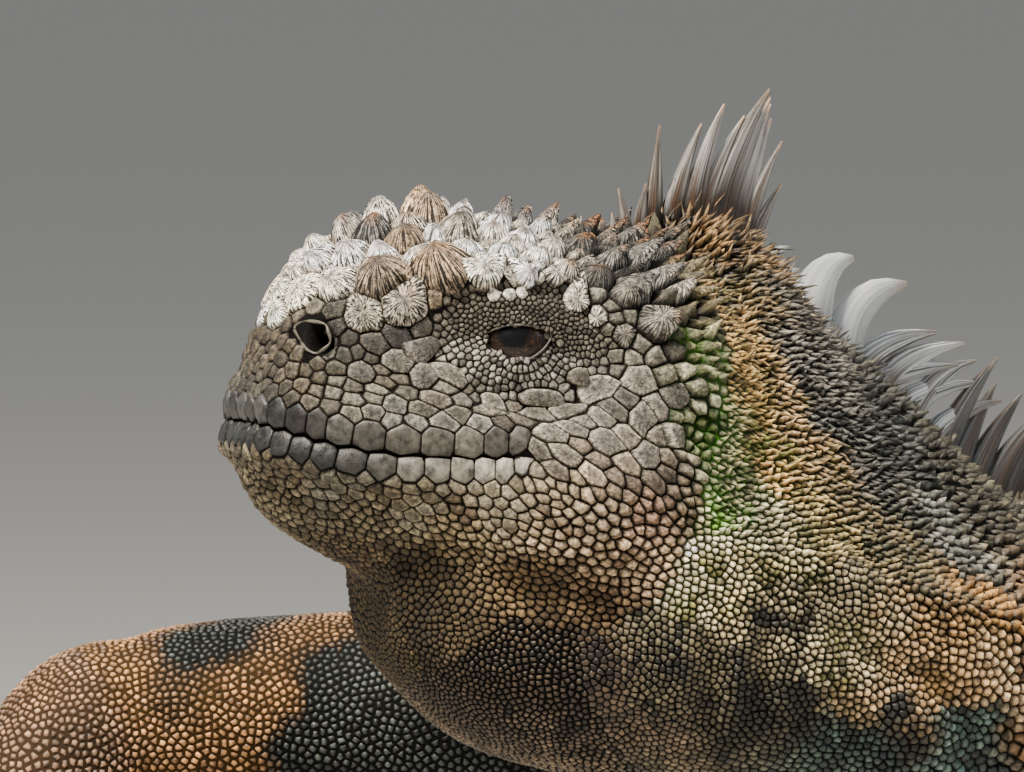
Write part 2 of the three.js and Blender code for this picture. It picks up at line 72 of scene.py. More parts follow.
def node(tree, kind, settings=None, **links):
    """One node of a material, with its settings and what is linked to its sockets or set on them."""
    made = tree.nodes.new("ShaderNode" + kind)
    for name, value in (settings or {}).items():
        setattr(made, name, value)
    for name, value in links.items():
        key = int(name[1:]) if name[1:].isdigit() else name.replace("_", " ")
        if isinstance(value, bpy.types.NodeSocket):
            tree.links.new(value, made.inputs[key])
        else:
            made.inputs[key].default_value = value
    return made


def new_material(name, **constants):
    """A material with its node tree and its shader, on which some constants are set."""
    made = bpy.data.materials.new(name)
    made.use_nodes = True
    shader = made.node_tree.nodes["Principled BSDF"]
    for key, value in constants.items():
        shader.inputs[key.replace("_", " ")].default_value = value
    return made, made.node_tree, shader


def toward(azimuth, elevation):
    """The direction from the animal to something at that azimuth and elevation."""
    a, e = math.radians(azimuth), math.radians(elevation)
    return Vector((math.sin(a) * math.cos(e), -math.cos(a) * math.cos(e), math.sin(e)))


def aim(thing, at):
    """Turns a lamp or a camera to look at a point."""
    thing.rotation_euler = (at - thing.location).to_track_quat("-Z", "Y").to_euler()


def put(name, data):
    """Links a mesh, a lamp or a camera to the scene, at the origin and unturned."""
    thing = bpy.data.objects.new(name, data)
    bpy.context.scene.collection.objects.link(thing)
    return thing


world = bpy.data.worlds.new("pale_sky")
bpy.context.scene.world = world
world.use_nodes = True
sky = world.node_tree.nodes["Background"]
sky.inputs["Color"].default_value = linear(SKY_COLOUR)
sky.inputs["Strength"].default_value = SKY_STRENGTH

floor_form = bmesh.new()
bmesh.ops.create_circle(floor_form, cap_ends=True, segments=64, radius=FLOOR_RADIUS)
floor_mesh = bpy.data.meshes.new("floor")
floor_form.to_mesh(floor_mesh)
floor_mesh.materials.append(new_material("matt_plaster", Base_Color=linear(FLOOR_COLOUR), Roughness=0.9)[0])
floor = put("floor", floor_mesh)

for lamp_name, lamp in LAMPS.items():
    light = bpy.data.lights.new(lamp_name, "AREA")
    light.size = lamp["size"]
    light.energy = lamp["power"]
    light.color = linear(lamp["colour"])[:3]
    holder = put(lamp_name, light)
    holder.location = LOOK_AT + toward(lamp["azimuth"], lamp["elevation"]) * lamp["distance"]
    aim(holder, LOOK_AT)

camera_data = bpy.data.cameras.new("camera")
camera_data.sensor_width = SENSOR
camera_data.lens = SENSOR * CAMERA_DISTANCE / VIEW_WIDTH
camera_data.clip_start, camera_data.clip_end = NEAR_CLIP, FAR_CLIP
camera = put("camera", camera_data)
camera.location = LOOK_AT + toward(CAMERA_AZIMUTH, CAMERA_ELEVATION) * CAMERA_DISTANCE
aim(camera, LOOK_AT)
bpy.context.scene.camera = camera

# The skin: one hide over trunk, tail, neck, head and limbs, of leathery dermis that shows dark in
# the grooves between the scales, partly its own dark colour and partly painted shade. It is lofted through
# the same sections as the solids, grown together into one surface, smoothed where limbs join, and let in by
# the depth of the scales.
# Columns of the body: x, y and z of each section's middle, its half width, its height above and
# below the middle, and how keeled the back is.
BODY = [
    [-160, 33, 86, 12.5, 11, 18, 1],
    [-149, 24, 83, 21, 23, 28, 1.1],
    [-129, 8, 84, 29, 43, 37, 2],
    [-112, 2.3, 79, 35, 47, 39, 3],
    [-102.5, 0.5, 75, 38, 39.5, 38, 3.1],
    [-87, 0, 69, 41, 37, 36, 2.9],
    [-53, 0, 52, 45, 34.5, 36, 1.7],
    [-10, 0, 45, 50, 41, 45.6, 1.2],
    [32, 0, 43, 52, 42, 44, 1],
    [72, 0, 41, 49, 42, 42.4, 1],
    [110, 0, 38, 41, 38, 39, 1.05],
    [140, 0, 35, 32, 34, 34.5, 1.1],
    [165, 0, 32, 25, 30, 30.5, 1.15],
    [202, -3, 28, 18.5, 26.5, 26.7, 1.15],
    [247, -11, 25, 14, 24, 24, 1.15],
    [302, -26, 22, 11, 22, 22.2, 1.15],
    [362, -43, 20, 9, 20, 20.6, 1.15],
    [427, -55, 18, 7.4, 18, 18.6, 1.1],
    [492, -56, 15.5, 6, 15.5, 16.1, 1.1],
    [556, -45, 12.5, 4.6, 12.5, 13.1, 1],
    [615, -24, 9.3, 3.4, 9.2, 9.9, 1],
    [663, 3, 5.8, 2.2, 5.4, 6.3, 1],
    [690, 25, 2.6, 1.1, 2.1, 2.6, 1],
]
BODY_END = len(BODY) - 1
FLANK_SLOPE = 0.13
BELLY_FLAT = 0.72
HEAD_YAW = 40
HEAD_PITCH = 8
HEAD_AT = (-148, 23, 111)
# Columns of the head, in its own frame: x, the top and the bottom, then the half width at the brow,
# the eye, the mouth and the jaw.
HEAD = [
    [31.6, -5, -21, 3.5, 6, 6.5, 4],
    [30.8, -0.8, -23.2, 6, 9.3, 10, 7],
    [29, 3.9, -25.8, 8, 12.2, 13.2, 8.5],
    [26, 8.8, -28.6, 10.6, 14.8, 16.2, 10.5],
    [20, 13.6, -31.5, 13.8, 17.4, 18.8, 13.2],
    [10, 16.8, -34.5, 17.6, 20, 21.8, 17],
    [0, 17.4, -36.5, 20, 21.2, 24, 20.5],
    [-10, 17.4, -38, 20.2, 23.4, 26.6, 23.5],
    [-20, 17.6, -38, 19.4, 24.6, 27.6, 24.5],
    [-30, 16, -36, 17, 23.5, 26.5, 24],
    [-38, 8, -30, 12, 17, 20, 18],
]
# The jowl, the brow, the cheek and the lids, on each side: the middle and the three radii.
SWELLINGS = [((-13, 16.5, -19.5), (19.5, 13, 16)), ((1, 15.5, 8.6), (12, 7.2, 4.6)),
             ((-2, 19, -9.5), (12, 5.5, 2.8)), ((-0.8, 16.4, 0.4), (8.4, 8.4, 8.4))]
HEAD_SHARE = {"brow": 0.86, "eye": 0.67, "mouth": 0.37, "jaw": 0.14}
SNOUT_END, SNOUT_HIGH = 32, -12
EYE = {"x": -0.8, "y": 16.4, "z": 0.4, "radius": 6.6}
MOUTH_LINE = [[33, -14.8], [25, -16.3], [16, -16.8], [6, -16], [-4, -14.3]]
# Columns of the limbs: x, y, z, half width and half height. The wrist or ankle is on the floor.
RIGHT_ARM = {
    "upper": [[-80, 14, 55, 22, 22], [-94, 40, 56, 18.5, 19], [-110, 66, 57, 15, 15],
              [-126, 89, 56, 13, 13.5], [-132, 98, 54, 8, 9]],
    "lower": [[-127, 88, 58, 8, 9], [-134, 97, 54, 12.5, 13], [-146, 104, 38, 11, 11],
              [-155, 108, 22, 8.5, 9], [-160, 110, 10, 8, 8], [-162, 111, 6, 5, 5]],
    "wrist": (-161, 110.5), "heading": 150, "side": -1, "hand": True,
}
LEFT_ARM = {
    "upper": [[-78, -16, 52, 22, 22], [-82, -42, 53, 18.5, 19], [-80, -67, 51.5, 14.5, 15],
              [-75, -90, 48, 12.5, 13], [-73, -98, 45, 8, 9]],
    "lower": [[-72, -88, 50, 8, 9], [-77, -95, 45, 12, 12], [-89, -101, 33, 11, 11],
              [-100, -106, 20, 8.5, 9], [-107, -109, 10, 8, 8], [-110, -110, 6, 5, 5]],
    "wrist": (-108, -109.5), "heading": 196, "side": 1, "hand": True,
}
RIGHT_LEG = {
    "upper": [[134, 12, 37, 25, 23], [120, 37, 37, 22, 22], [102, 62, 36, 17.5, 18],
              [85, 84, 35, 13, 14], [80, 91, 34, 8, 9]],
    "lower": [[80, 83, 36, 8, 9], [86, 90, 33, 12.5, 12], [104, 99, 26, 12, 12],
              [122, 107, 17, 8.5, 9], [133, 111, 9, 7.5, 8], [137, 112, 6, 5, 5]],
    "wrist": (134, 111.5), "heading": 160, "side": -1, "hand": False,
}
# Each digit's spread in degrees, from the inner to the outer one, and its length.
FINGERS = [[-58, 12], [-27, 19], [-3, 23], [21, 22], [52, 15]]
TOES = [[-36, 15], [-18, 25], [-2, 35], [15, 42], [44, 26]]
HAND = {"palm": 13, "half": 9.5, "finger": 3.1}
FOOT = {"palm": 26, "half": 10.5, "finger": 3.4}
DIGIT_END = 3.7
# Each digit's joints: the share of its length, the height and the share of its thickness.
DIGIT_STEPS = [(-0.1, 4.4, 1), (0.15, 5.4, 0.9), (0.3, 5.6, 1), (0.5, 5.3, 0.84), (0.6, 5.2, 0.94),
               (0.84, DIGIT_END, 0.86), (1, DIGIT_END, 0.66)]
LOFT_SIDES = 72
BODY_STEPS = 12
HEAD_STEPS = 70
HEAD_BULGE = 3.2
SKIN_VOXEL = 1.5
SMOOTHINGS = 5
TAIL_FROM = 190
HANDS_BELOW = 13
COAT_DEPTH = 0.7
FLOOR_SKIN = 0.3


def catmull(a, b, d, e, f):
    """The smooth curve from b to d at share f, with a before and e after."""
    s, m = (d - a) / 2, (e - b) / 2
    return b + f * (s + f * (3 * (d - b) - 2 * s - m + f * (2 * (b - d) + s + m)))


def between(rows, t):
    """The values of a table between its rows, for many places t at once."""
    rows = np.asarray(rows, float)
    t = np.atleast_1d(np.asarray(t, float))
    last = len(rows) - 1
    i = np.clip(np.floor(t).astype(int), 0, last - 1)
    near = [rows[np.clip(i + k, 0, last)] for k in (-1, 0, 1, 2)]
    return catmull(*near, (t - i)[:, None])


def unit(v):
    """Vectors made one long."""
    return v / np.maximum(np.linalg.norm(v, axis=-1, keepdims=True), 1e-9)


def body_at(t, turn):
    """Points on the body: t along its sections, turn round it from the left, with 0.25 on top."""
    t = np.broadcast_to(t, np.shape(turn)).astype(float)
    x, y, z, width, above, below, ridge = between(BODY, t).T
    ahead = between(BODY, t + 0.02)[:, :2] - between(BODY, t - 0.02)[:, :2]
    side = unit(np.stack([ahead[:, 1], -ahead[:, 0]], 1))
    c, s = np.cos(turn * 2 * np.pi), np.sin(turn * 2 * np.pi)
    out = width * c * (1 - FLANK_SLOPE * s)
    up = np.maximum(s, 0) ** ridge * above
    down = np.maximum(-s, 0) ** BELLY_FLAT * below
    return np.stack([x + side[:, 0] * out, y + side[:, 1] * out, z + up - down], 1)


HEAD_TURN = (Matrix.Translation(HEAD_AT) @ Matrix.Rotation(math.pi - math.radians(HEAD_YAW), 4, "Z")
             @ Matrix.Rotation(-math.radians(HEAD_PITCH), 4, "Y"))
HEAD_OUT = np.array(HEAD_TURN)


def from_head(points):
    """Points of the head's own frame in the body's frame."""
    return np.asarray(points, float) @ HEAD_OUT[:3, :3].T + HEAD_OUT[:3, 3]


def turned_out(ways):
    """Directions of the head's own frame in the body's frame."""
    return from_head(ways) - HEAD_OUT[:3, 3]


def into_head(points):
    """Points of the body's frame in the head's own frame: x forward, y left, z up."""
    return (np.asarray(points, float) - HEAD_OUT[:3, 3]) @ HEAD_OUT[:3, :3]


head_steps = np.linspace(0, len(HEAD) - 1, 500)
head_runs = between(HEAD, head_steps)


def head_at(x, place):
    """Points on the head: place 0 is the midline on top, 1 the brow, 2 the eye, 3 the mouth, 4 the
    jaw and 5 the midline underneath, and negative places are on the right side."""
    x, place = np.broadcast_arrays(np.asarray(x, float), np.asarray(place, float))
    t = np.interp(-x, -head_runs[:, 0], head_steps)
    _, top, bottom, brow, eye, mouth, jaw = between(HEAD, t).T
    none = np.zeros_like(brow)
    wide = np.stack([-brow, none, brow, eye, mouth, jaw, none, -jaw])
    at_brow, at_eye, at_mouth, at_jaw = (HEAD_SHARE[k] for k in ("brow", "eye", "mouth", "jaw"))
    high = np.stack([bottom + h * (top - bottom)
                     for h in (at_brow, 1, at_brow, at_eye, at_mouth, at_jaw, 0, at_jaw)])
    at = np.abs(place) + 1
    i = np.clip(np.floor(at).astype(int), 0, 6)
    pick = np.arange(len(x))
    y, z = (catmull(*(v[np.clip(i + k, 0, 7), pick] for k in (-1, 0, 1, 2)), at - i)
            for v in (wide, high))
    return np.stack([x, np.where(place < 0, -y, y), z], 1)


def wrapped(sides, steps, place):
    """A closed surface: a sphere's net with its rings put where place(ring, turn) says, and its poles
    at the middles that it gives as well."""
    net = bmesh.new()
    bmesh.ops.create_uvsphere(net, u_segments=sides, v_segments=steps + 1, radius=1)
    flat = np.array([v.co for v in net.verts])
    ring = np.rint(np.arccos(np.clip(flat[:, 2], -1, 1)) / math.pi * (steps + 1)).astype(int)
    turn = np.arctan2(flat[:, 1], flat[:, 0]) / (2 * math.pi) % 1
    on, middle = place(ring, turn)
    pole = ((ring == 0) | (ring == steps + 1))[:, None]
    for v, co in zip(net.verts, np.where(pole, middle, on)):
        v.co = co
    bmesh.ops.recalc_face_normals(net, faces=net.faces)
    return net


def limb_at(rows, t, turn):
    """Points on a limb or a digit: t along its rows of x, y, z, half width and half height."""
    t = np.broadcast_to(t, np.shape(turn)).astype(float)
    x, y, z, across, over = between(rows, t).T
    last = len(rows) - 1
    ahead = between(rows, np.minimum(last, t + 0.05)) - between(rows, np.maximum(0, t - 0.05))
    along = unit(ahead[:, :3])
    side = unit(np.cross(along, (0, 0, 1)))
    top = np.cross(side, along)
    angle = (turn * 2 * np.pi)[:, None]
    return (np.stack([x, y, z], 1) + side * np.cos(angle) * across[:, None]
            + top * np.sin(angle) * over[:, None])


def tube(rows, sides=24, per_row=8):
    """A closed limb, digit, claw or lip."""
    def place(ring, turn):
        t = np.clip((ring - 1) / per_row, 0, len(rows) - 1)
        return limb_at(rows, t, turn), between(rows, t)[:, :3]
    return wrapped(sides, (len(rows) - 1) * per_row + 1, place)


def ball(at, radii):
    """An ellipsoid in the head's frame."""
    net = bmesh.new()
    bmesh.ops.create_uvsphere(net, u_segments=32, v_segments=20, radius=1)
    bmesh.ops.scale(net, vec=radii, verts=net.verts)
    bmesh.ops.translate(net, vec=at, verts=net.verts)
    bmesh.ops.transform(net, matrix=HEAD_TURN, verts=net.verts)
    return net


def mouth_height(x):
    """The height of the mouth's line at a place along the head."""
    line = np.array(MOUTH_LINE)
    dense = between(line, np.linspace(0, len(line) - 1, 60))
    return np.interp(-np.asarray(x, float), -dense[:, 0], dense[:, 1])


def lip_line(lift, inward):
    """Points round the lips from the left corner of the mouth to the right one."""
    x = np.concatenate([np.linspace(-5, 28, 22), np.linspace(29, 31.4, 5)])
    left = head_at(x, np.full(len(x), 3.0))
    left[:, 1] -= inward
    left[:, 2] = mouth_height(x) + lift
    front = np.array([[SNOUT_END - inward, 0, mouth_height([SNOUT_END])[0] + lift]])
    return np.concatenate([left, front, left[::-1] * (1, -1, 1)])


def lip(lift, inward, half_out, half_up):
    """The soft roll under the plates of one lip."""
    line = lip_line(lift, inward)[::2]
    rows = [[*p, half_out, half_up] for p in line]
    net = tube(rows, 12, 3)
    bmesh.ops.transform(net, matrix=HEAD_TURN, verts=net.verts)
    return net


def heading(degrees):
    """The level direction at an angle from +X."""
    a = math.radians(degrees)
    return np.array([math.cos(a), math.sin(a), 0])


def mirrored(limb):
    """The same limb on the other side of the body."""
    flip = {key: [[x, -y, *more] for x, y, *more in limb[key]] for key in ("upper", "lower")}
    return {**limb, **flip, "wrist": (limb["wrist"][0], -limb["wrist"][1]),
            "heading": 360 - limb["heading"], "side": -limb["side"]}


def extremity(limb):
    """The rows of a palm or sole, of its digits and of the claws at their ends."""
    size, digits = (HAND, FINGERS) if limb["hand"] else (FOOT, TOES)
    wrist = np.array([*limb["wrist"], 0.0])
    forward, across = heading(limb["heading"]), heading(limb["heading"] + 90)
    side = -limb["side"]

    def row(ahead, z, wide, high):
        return [*(wrist + forward * ahead)[:2], z, wide, high]
    deep, half = size["palm"], size["half"]
    palm = [row(-6, 6, 4, 5), row(-3, 6.6, 7.6, 6.6), row(deep * 0.5, 5.4, half, 5.8),
            row(deep, 4.6, half * 0.95, 4.9), row(deep + 3.5, 4.2, half * 0.5, 3.2)]
    fingers, claws = [], []
    for i, (spread, long) in enumerate(digits):
        along = heading(limb["heading"] + side * spread)
        set_off = (i - 2) / 2 * (half - size["finger"]) * side
        back = deep * (0.45 if i == 4 else 0.82)
        base = wrist + forward * back + across * set_off
        fingers.append([[*(base + along * s * long)[:2], z, *(size["finger"] * r,) * 2]
                        for s, z, r in DIGIT_STEPS])
        claws.append((base + along * (long + 0.3), along))
    return palm, fingers, claws


limbs = [RIGHT_ARM, LEFT_ARM, RIGHT_LEG, mirrored(RIGHT_LEG)]


def body_net():
    """The trunk, neck and tail as one closed loft."""
    def place(ring, turn):
        t = np.clip((ring - 1) / BODY_STEPS, 0, BODY_END)
        return body_at(t, turn), between(BODY, t)[:, :3]
    return wrapped(LOFT_SIDES, BODY_END * BODY_STEPS + 1, place)


def head_net():
    """The head as one closed loft, without its swellings."""
    stops = (np.linspace(HEAD[0][0], HEAD[-1][0], HEAD_STEPS)
             + HEAD_BULGE * np.sin(np.pi * np.linspace(0, 1, HEAD_STEPS)))

    def place(ring, turn):
        x = stops[np.clip(ring - 1, 0, HEAD_STEPS - 1)]
        on = head_at(x, np.where(turn <= 0.5, turn * 10, turn * 10 - 10))
        high = (on[:, 2].max() + on[:, 2].min()) / 2
        snout = ring == 0
        end = np.stack([np.where(snout, SNOUT_END, x), 0 * x, np.where(snout, SNOUT_HIGH, high)], 1)
        return from_head(on), from_head(end)
    return wrapped(LOFT_SIDES, HEAD_STEPS, place)


def join_nets(nets):
    """Many bmesh forms as one mesh."""
    whole = bmesh.new()
    for net in nets:
        scrap = bpy.data.meshes.new("scrap")
        net.to_mesh(scrap)
        whole.from_mesh(scrap)
        bpy.data.meshes.remove(scrap)
        net.free()
    mesh = bpy.data.meshes.new("skin")
    whole.to_mesh(mesh)
    whole.free()
    return mesh


flesh = [body_net(), head_net(), lip(2.9, 1.0, 2.0, 2.5), lip(-3.0, 1.2, 2.0, 2.3)]
flesh += [ball((x, side * y, z), radii) for side in (-1, 1) for (x, y, z), radii in SWELLINGS]
for limb in limbs:
    palm, fingers, claws = extremity(limb)
    flesh += [tube(limb["upper"]), tube(limb["lower"]), tube(palm, 16, 6)]
    flesh += [tube(rows, 14, 6) for rows in fingers]
skin = put("skin", join_nets(flesh))
fuse = skin.modifiers.new("fuse", "REMESH")
fuse.mode = "VOXEL"
fuse.voxel_size = SKIN_VOXEL
fused = bpy.data.meshes.new_from_object(skin.evaluated_get(bpy.context.evaluated_depsgraph_get()))
skin.modifiers.clear()
skin.data = fused

form = bmesh.new()
form.from_mesh(skin.data)
soft = [v for v in form.verts if v.co.x < TAIL_FROM and v.co.z > HANDS_BELOW]
for _ in range(SMOOTHINGS):
    bmesh.ops.smooth_vert(form, verts=soft, factor=0.5, use_axis_x=True, use_axis_y=True, use_axis_z=True)

# The head's skin is made twice as fine as the rest.
points = np.array([v.co for v in form.verts])
local = into_head(points)
fine = (local[:, 0] > -30) & (local[:, 2] > -30) & (np.abs(local[:, 1]) < 32) & (points[:, 2] > 60)
edges = [e for e in form.edges if fine[e.verts[0].index] and fine[e.verts[1].index]]
bmesh.ops.subdivide_edges(form, edges=edges, cuts=1, use_grid_fill=True, smooth=0.6)
form.normal_update()
points = np.array([v.co for v in form.verts])
normals = np.array([v.normal for v in form.verts])

# Hollows in the skin: the groove of the mouth, the eye openings, the nostrils, the ears and the
# folds of the neck and the armpits.
EYE_OPENING = [(5.3, 0.5), (2.9, 2.6), (-0.7, 3.2), (-3.9, 2.5), (-2.8, 0.1), (-0.2, -1.7), (2.9, -1.2)]
EYE_SHIFT = (0.9, 0.5)
NOSTRIL = {"x": 26.2, "z": -2.2}
EAR = {"x": -25.6, "z": -8}
EYE_FROM, NOSTRIL_FROM = 8, 5
# The folds' two ends, their depth and their half width. They are the same on both sides.
FOLDS = [
    ((-146, -15, 76), (-143, -13, 50), 1.4, 2.6),
    ((-138, -21, 84), (-140, -18, 52), 1.2, 2.2),
    ((-134, -22, 80), (-126, -26, 66), 1.6, 2.4),
    ((-128, -26, 70), (-112, -36, 61), 2.2, 2.6),
    ((-130, -22, 92), (-116, -34, 70), 1.3, 2.4),
    ((-112, -34, 58), (-96, -38, 56), 2.0, 2.2),
    ((-112, -34, 52), (-94, -38, 49), 1.8, 2.2),
    ((-151, 0, 70), (-148, -5, 50), 1.2, 2.4),
    ((-120, -24, 96), (-104, -34, 74), 0.9, 2.6),
]


def hollow(distance, width):
    """A groove's depth across it, one at its bottom and nothing past its width."""
    return np.exp(-(distance / width) ** 2)


def oval(local, spot, half, shift=(0, 0)):
    """How far out points of the head lie in an oval on its side, as a square: 1 on the oval's edge."""
    return (((local[:, 0] - spot["x"] - shift[0]) / half[0]) ** 2
            + ((local[:, 2] - spot["z"] - shift[1]) / half[1]) ** 2)


def dents(points):
    """How deep each point of the skin lies under the smooth form."""
    local = into_head(points)
    x, z = local[:, 0], local[:, 2]
    facing, nasal = np.abs(local[:, 1]) > EYE_FROM, np.abs(local[:, 1]) > NOSTRIL_FROM
    depth = np.zeros(len(points))
    depth += np.where((x > -4.5) & (z < 0), 1.1 * hollow(z - mouth_height(x), 0.5), 0)
    opening = oval(local, EYE, (4.7, 2.5), EYE_SHIFT)
    depth += np.where(facing & (opening < 1.15), 3.4 * np.clip(1.25 - opening, 0, 0.5) * 2, 0)
    depth += np.where(facing, 0.9 * hollow(np.sqrt(oval(local, EYE, (11.5, 8.2))) - 1.0, 0.13), 0)
    depth += np.where(nasal, 4.2 * np.clip(1.3 - oval(local, NOSTRIL, (1.6, 2.1)), 0, 1), 0)
    depth += np.where(facing, 1.8 * np.clip(1.2 - oval(local, EAR, (3.2, 4.6)), 0, 1), 0)
    for a, b, deep, wide in FOLDS:
        for side in (1, -1):
            a1, b1 = np.array(a) * (1, side, 1), np.array(b) * (1, side, 1)
            along = b1 - a1
            share = np.clip(((points - a1) @ along) / (along @ along), 0, 1)
            away = np.linalg.norm(points - a1 - share[:, None] * along, axis=1)
            depth += deep * hollow(away, wide) * np.sin(np.pi * (0.12 + 0.76 * share))
    return depth


thin = np.interp(points[:, 0], [400, 600, 690], [0, 0.3, 0.7])
digit = np.where(points[:, 2] < 9, 0.3, 0)
depth = COAT_DEPTH - np.maximum(thin, digit) + dents(points)
points = points - normals * depth[:, None]
points[:, 2] = np.maximum(points[:, 2], FLOOR_SKIN)
for v, co in zip(form.verts, points):
    v.co = co
form.normal_update()
form.to_mesh(skin.data)
form.free()

# Every scale stands on the skin at a root. The roots of each bed are sown first, and the scales
# are then cut to fit between their neighbours, as real ones are, with a dark groove around each.
SEED = 20
SHARE_CHANCE, TONE_CHANCE = 0.25, 0.2
chance = np.random.default_rng(SEED)
skin.data.calc_loop_triangles()
skin_points = np.array([v.co for v in skin.data.vertices])
skin_normals = np.array([v.normal for v in skin.data.vertices])
skin_faces = np.zeros(len(skin.data.loop_triangles) * 3, int)
skin.data.loop_triangles.foreach_get("vertices", skin_faces)
skin_faces = skin_faces.reshape(-1, 3)
hide = BVHTree.FromPolygons(skin_points.tolist(), skin_faces.tolist())
beds = []


def settle(points):
    """The nearest places on the skin to some points, the skin's normals there and how far off."""
    found = [hide.find_nearest(p) for p in np.asarray(points, float).tolist()]
    place = np.array([f[0] for f in found])
    corner = skin_faces[[f[2] for f in found]]
    far = np.array([f[3] for f in found])
    reach = np.linalg.norm(skin_points[corner] - place[:, None], axis=2) + 1e-6
    weight = (1 / reach)[..., None]
    return place, unit((skin_normals[corner] * weight).sum(1)), far


def mottle(points, size, seed):
    """A soft random pattern from 0 to 1 in patches of about that size."""
    waves = np.random.default_rng(seed)
    total = np.zeros(len(points))
    for _ in range(9):
        way = unit(waves.normal(size=3)) * 2 * np.pi / (size * waves.uniform(0.7, 1.6))
        total += np.sin(np.asarray(points) @ way + waves.uniform(0, 6.3))
    return np.clip(0.5 + total / 6, 0, 1)


def shares(places, points, reach):
    """How much each named place counts at each point, by nearness."""
    away = ((points[:, None, :] - np.asarray(places, float)[None, :, :]) ** 2).sum(-1)
    weight = (away + reach ** 2) ** -3.0
    return weight / weight.sum(1, keepdims=True)


def colours(names):
    """Hex colours as rows of linear red, green and blue."""
    return np.array([linear(n)[:3] for n in names])


def sow(name, at, lie, size, stretch, tall, peak, lean, tints, thin=0.86, fixed=False, ribs=0.0):
    """Adds roots to a bed: where they are, which way their scales lie, the half size across the lie,
    how much longer they are along it, their height, how pointed they are and how far they lean, their
    colours, how close they may stand, whether they keep their places, and how ribbed they are."""
    n = len(at)
    values = {"size": size, "stretch": stretch, "tall": tall, "peak": peak, "lean": lean, "thin": thin,
              "fixed": fixed, "ribs": ribs}
    beds.append({"name": [name] * n, "at": np.asarray(at, float), "tints": tints,
                 "lie": np.broadcast_to(lie, (n, 3)).copy(),
                 **{key: np.broadcast_to(np.asarray(v, float), (n,)).copy() for key, v in values.items()}})


def tinted(light, dark, groove, points, patch=5.0, seed=1, loose=1.0):
    """Three colours for each root: its scale's light colour, its dark one and the groove's. Each root
    is given one of its own between light and dark, partly by chance and partly in patches."""
    n = len(points)
    share = mottle(points, patch, seed) * 0.9 + chance.normal(0, SHARE_CHANCE * loose, n) - 0.1
    share = np.clip(share, 0, 1)[:, None]
    light, dark, groove = (np.broadcast_to(c, (n, 3)) for c in (light, dark, groove))
    tone = np.exp(chance.normal(0, TONE_CHANCE * loose, n))[:, None]
    return np.concatenate([(light * (1 - share) + dark * share) * tone, groove], 1)


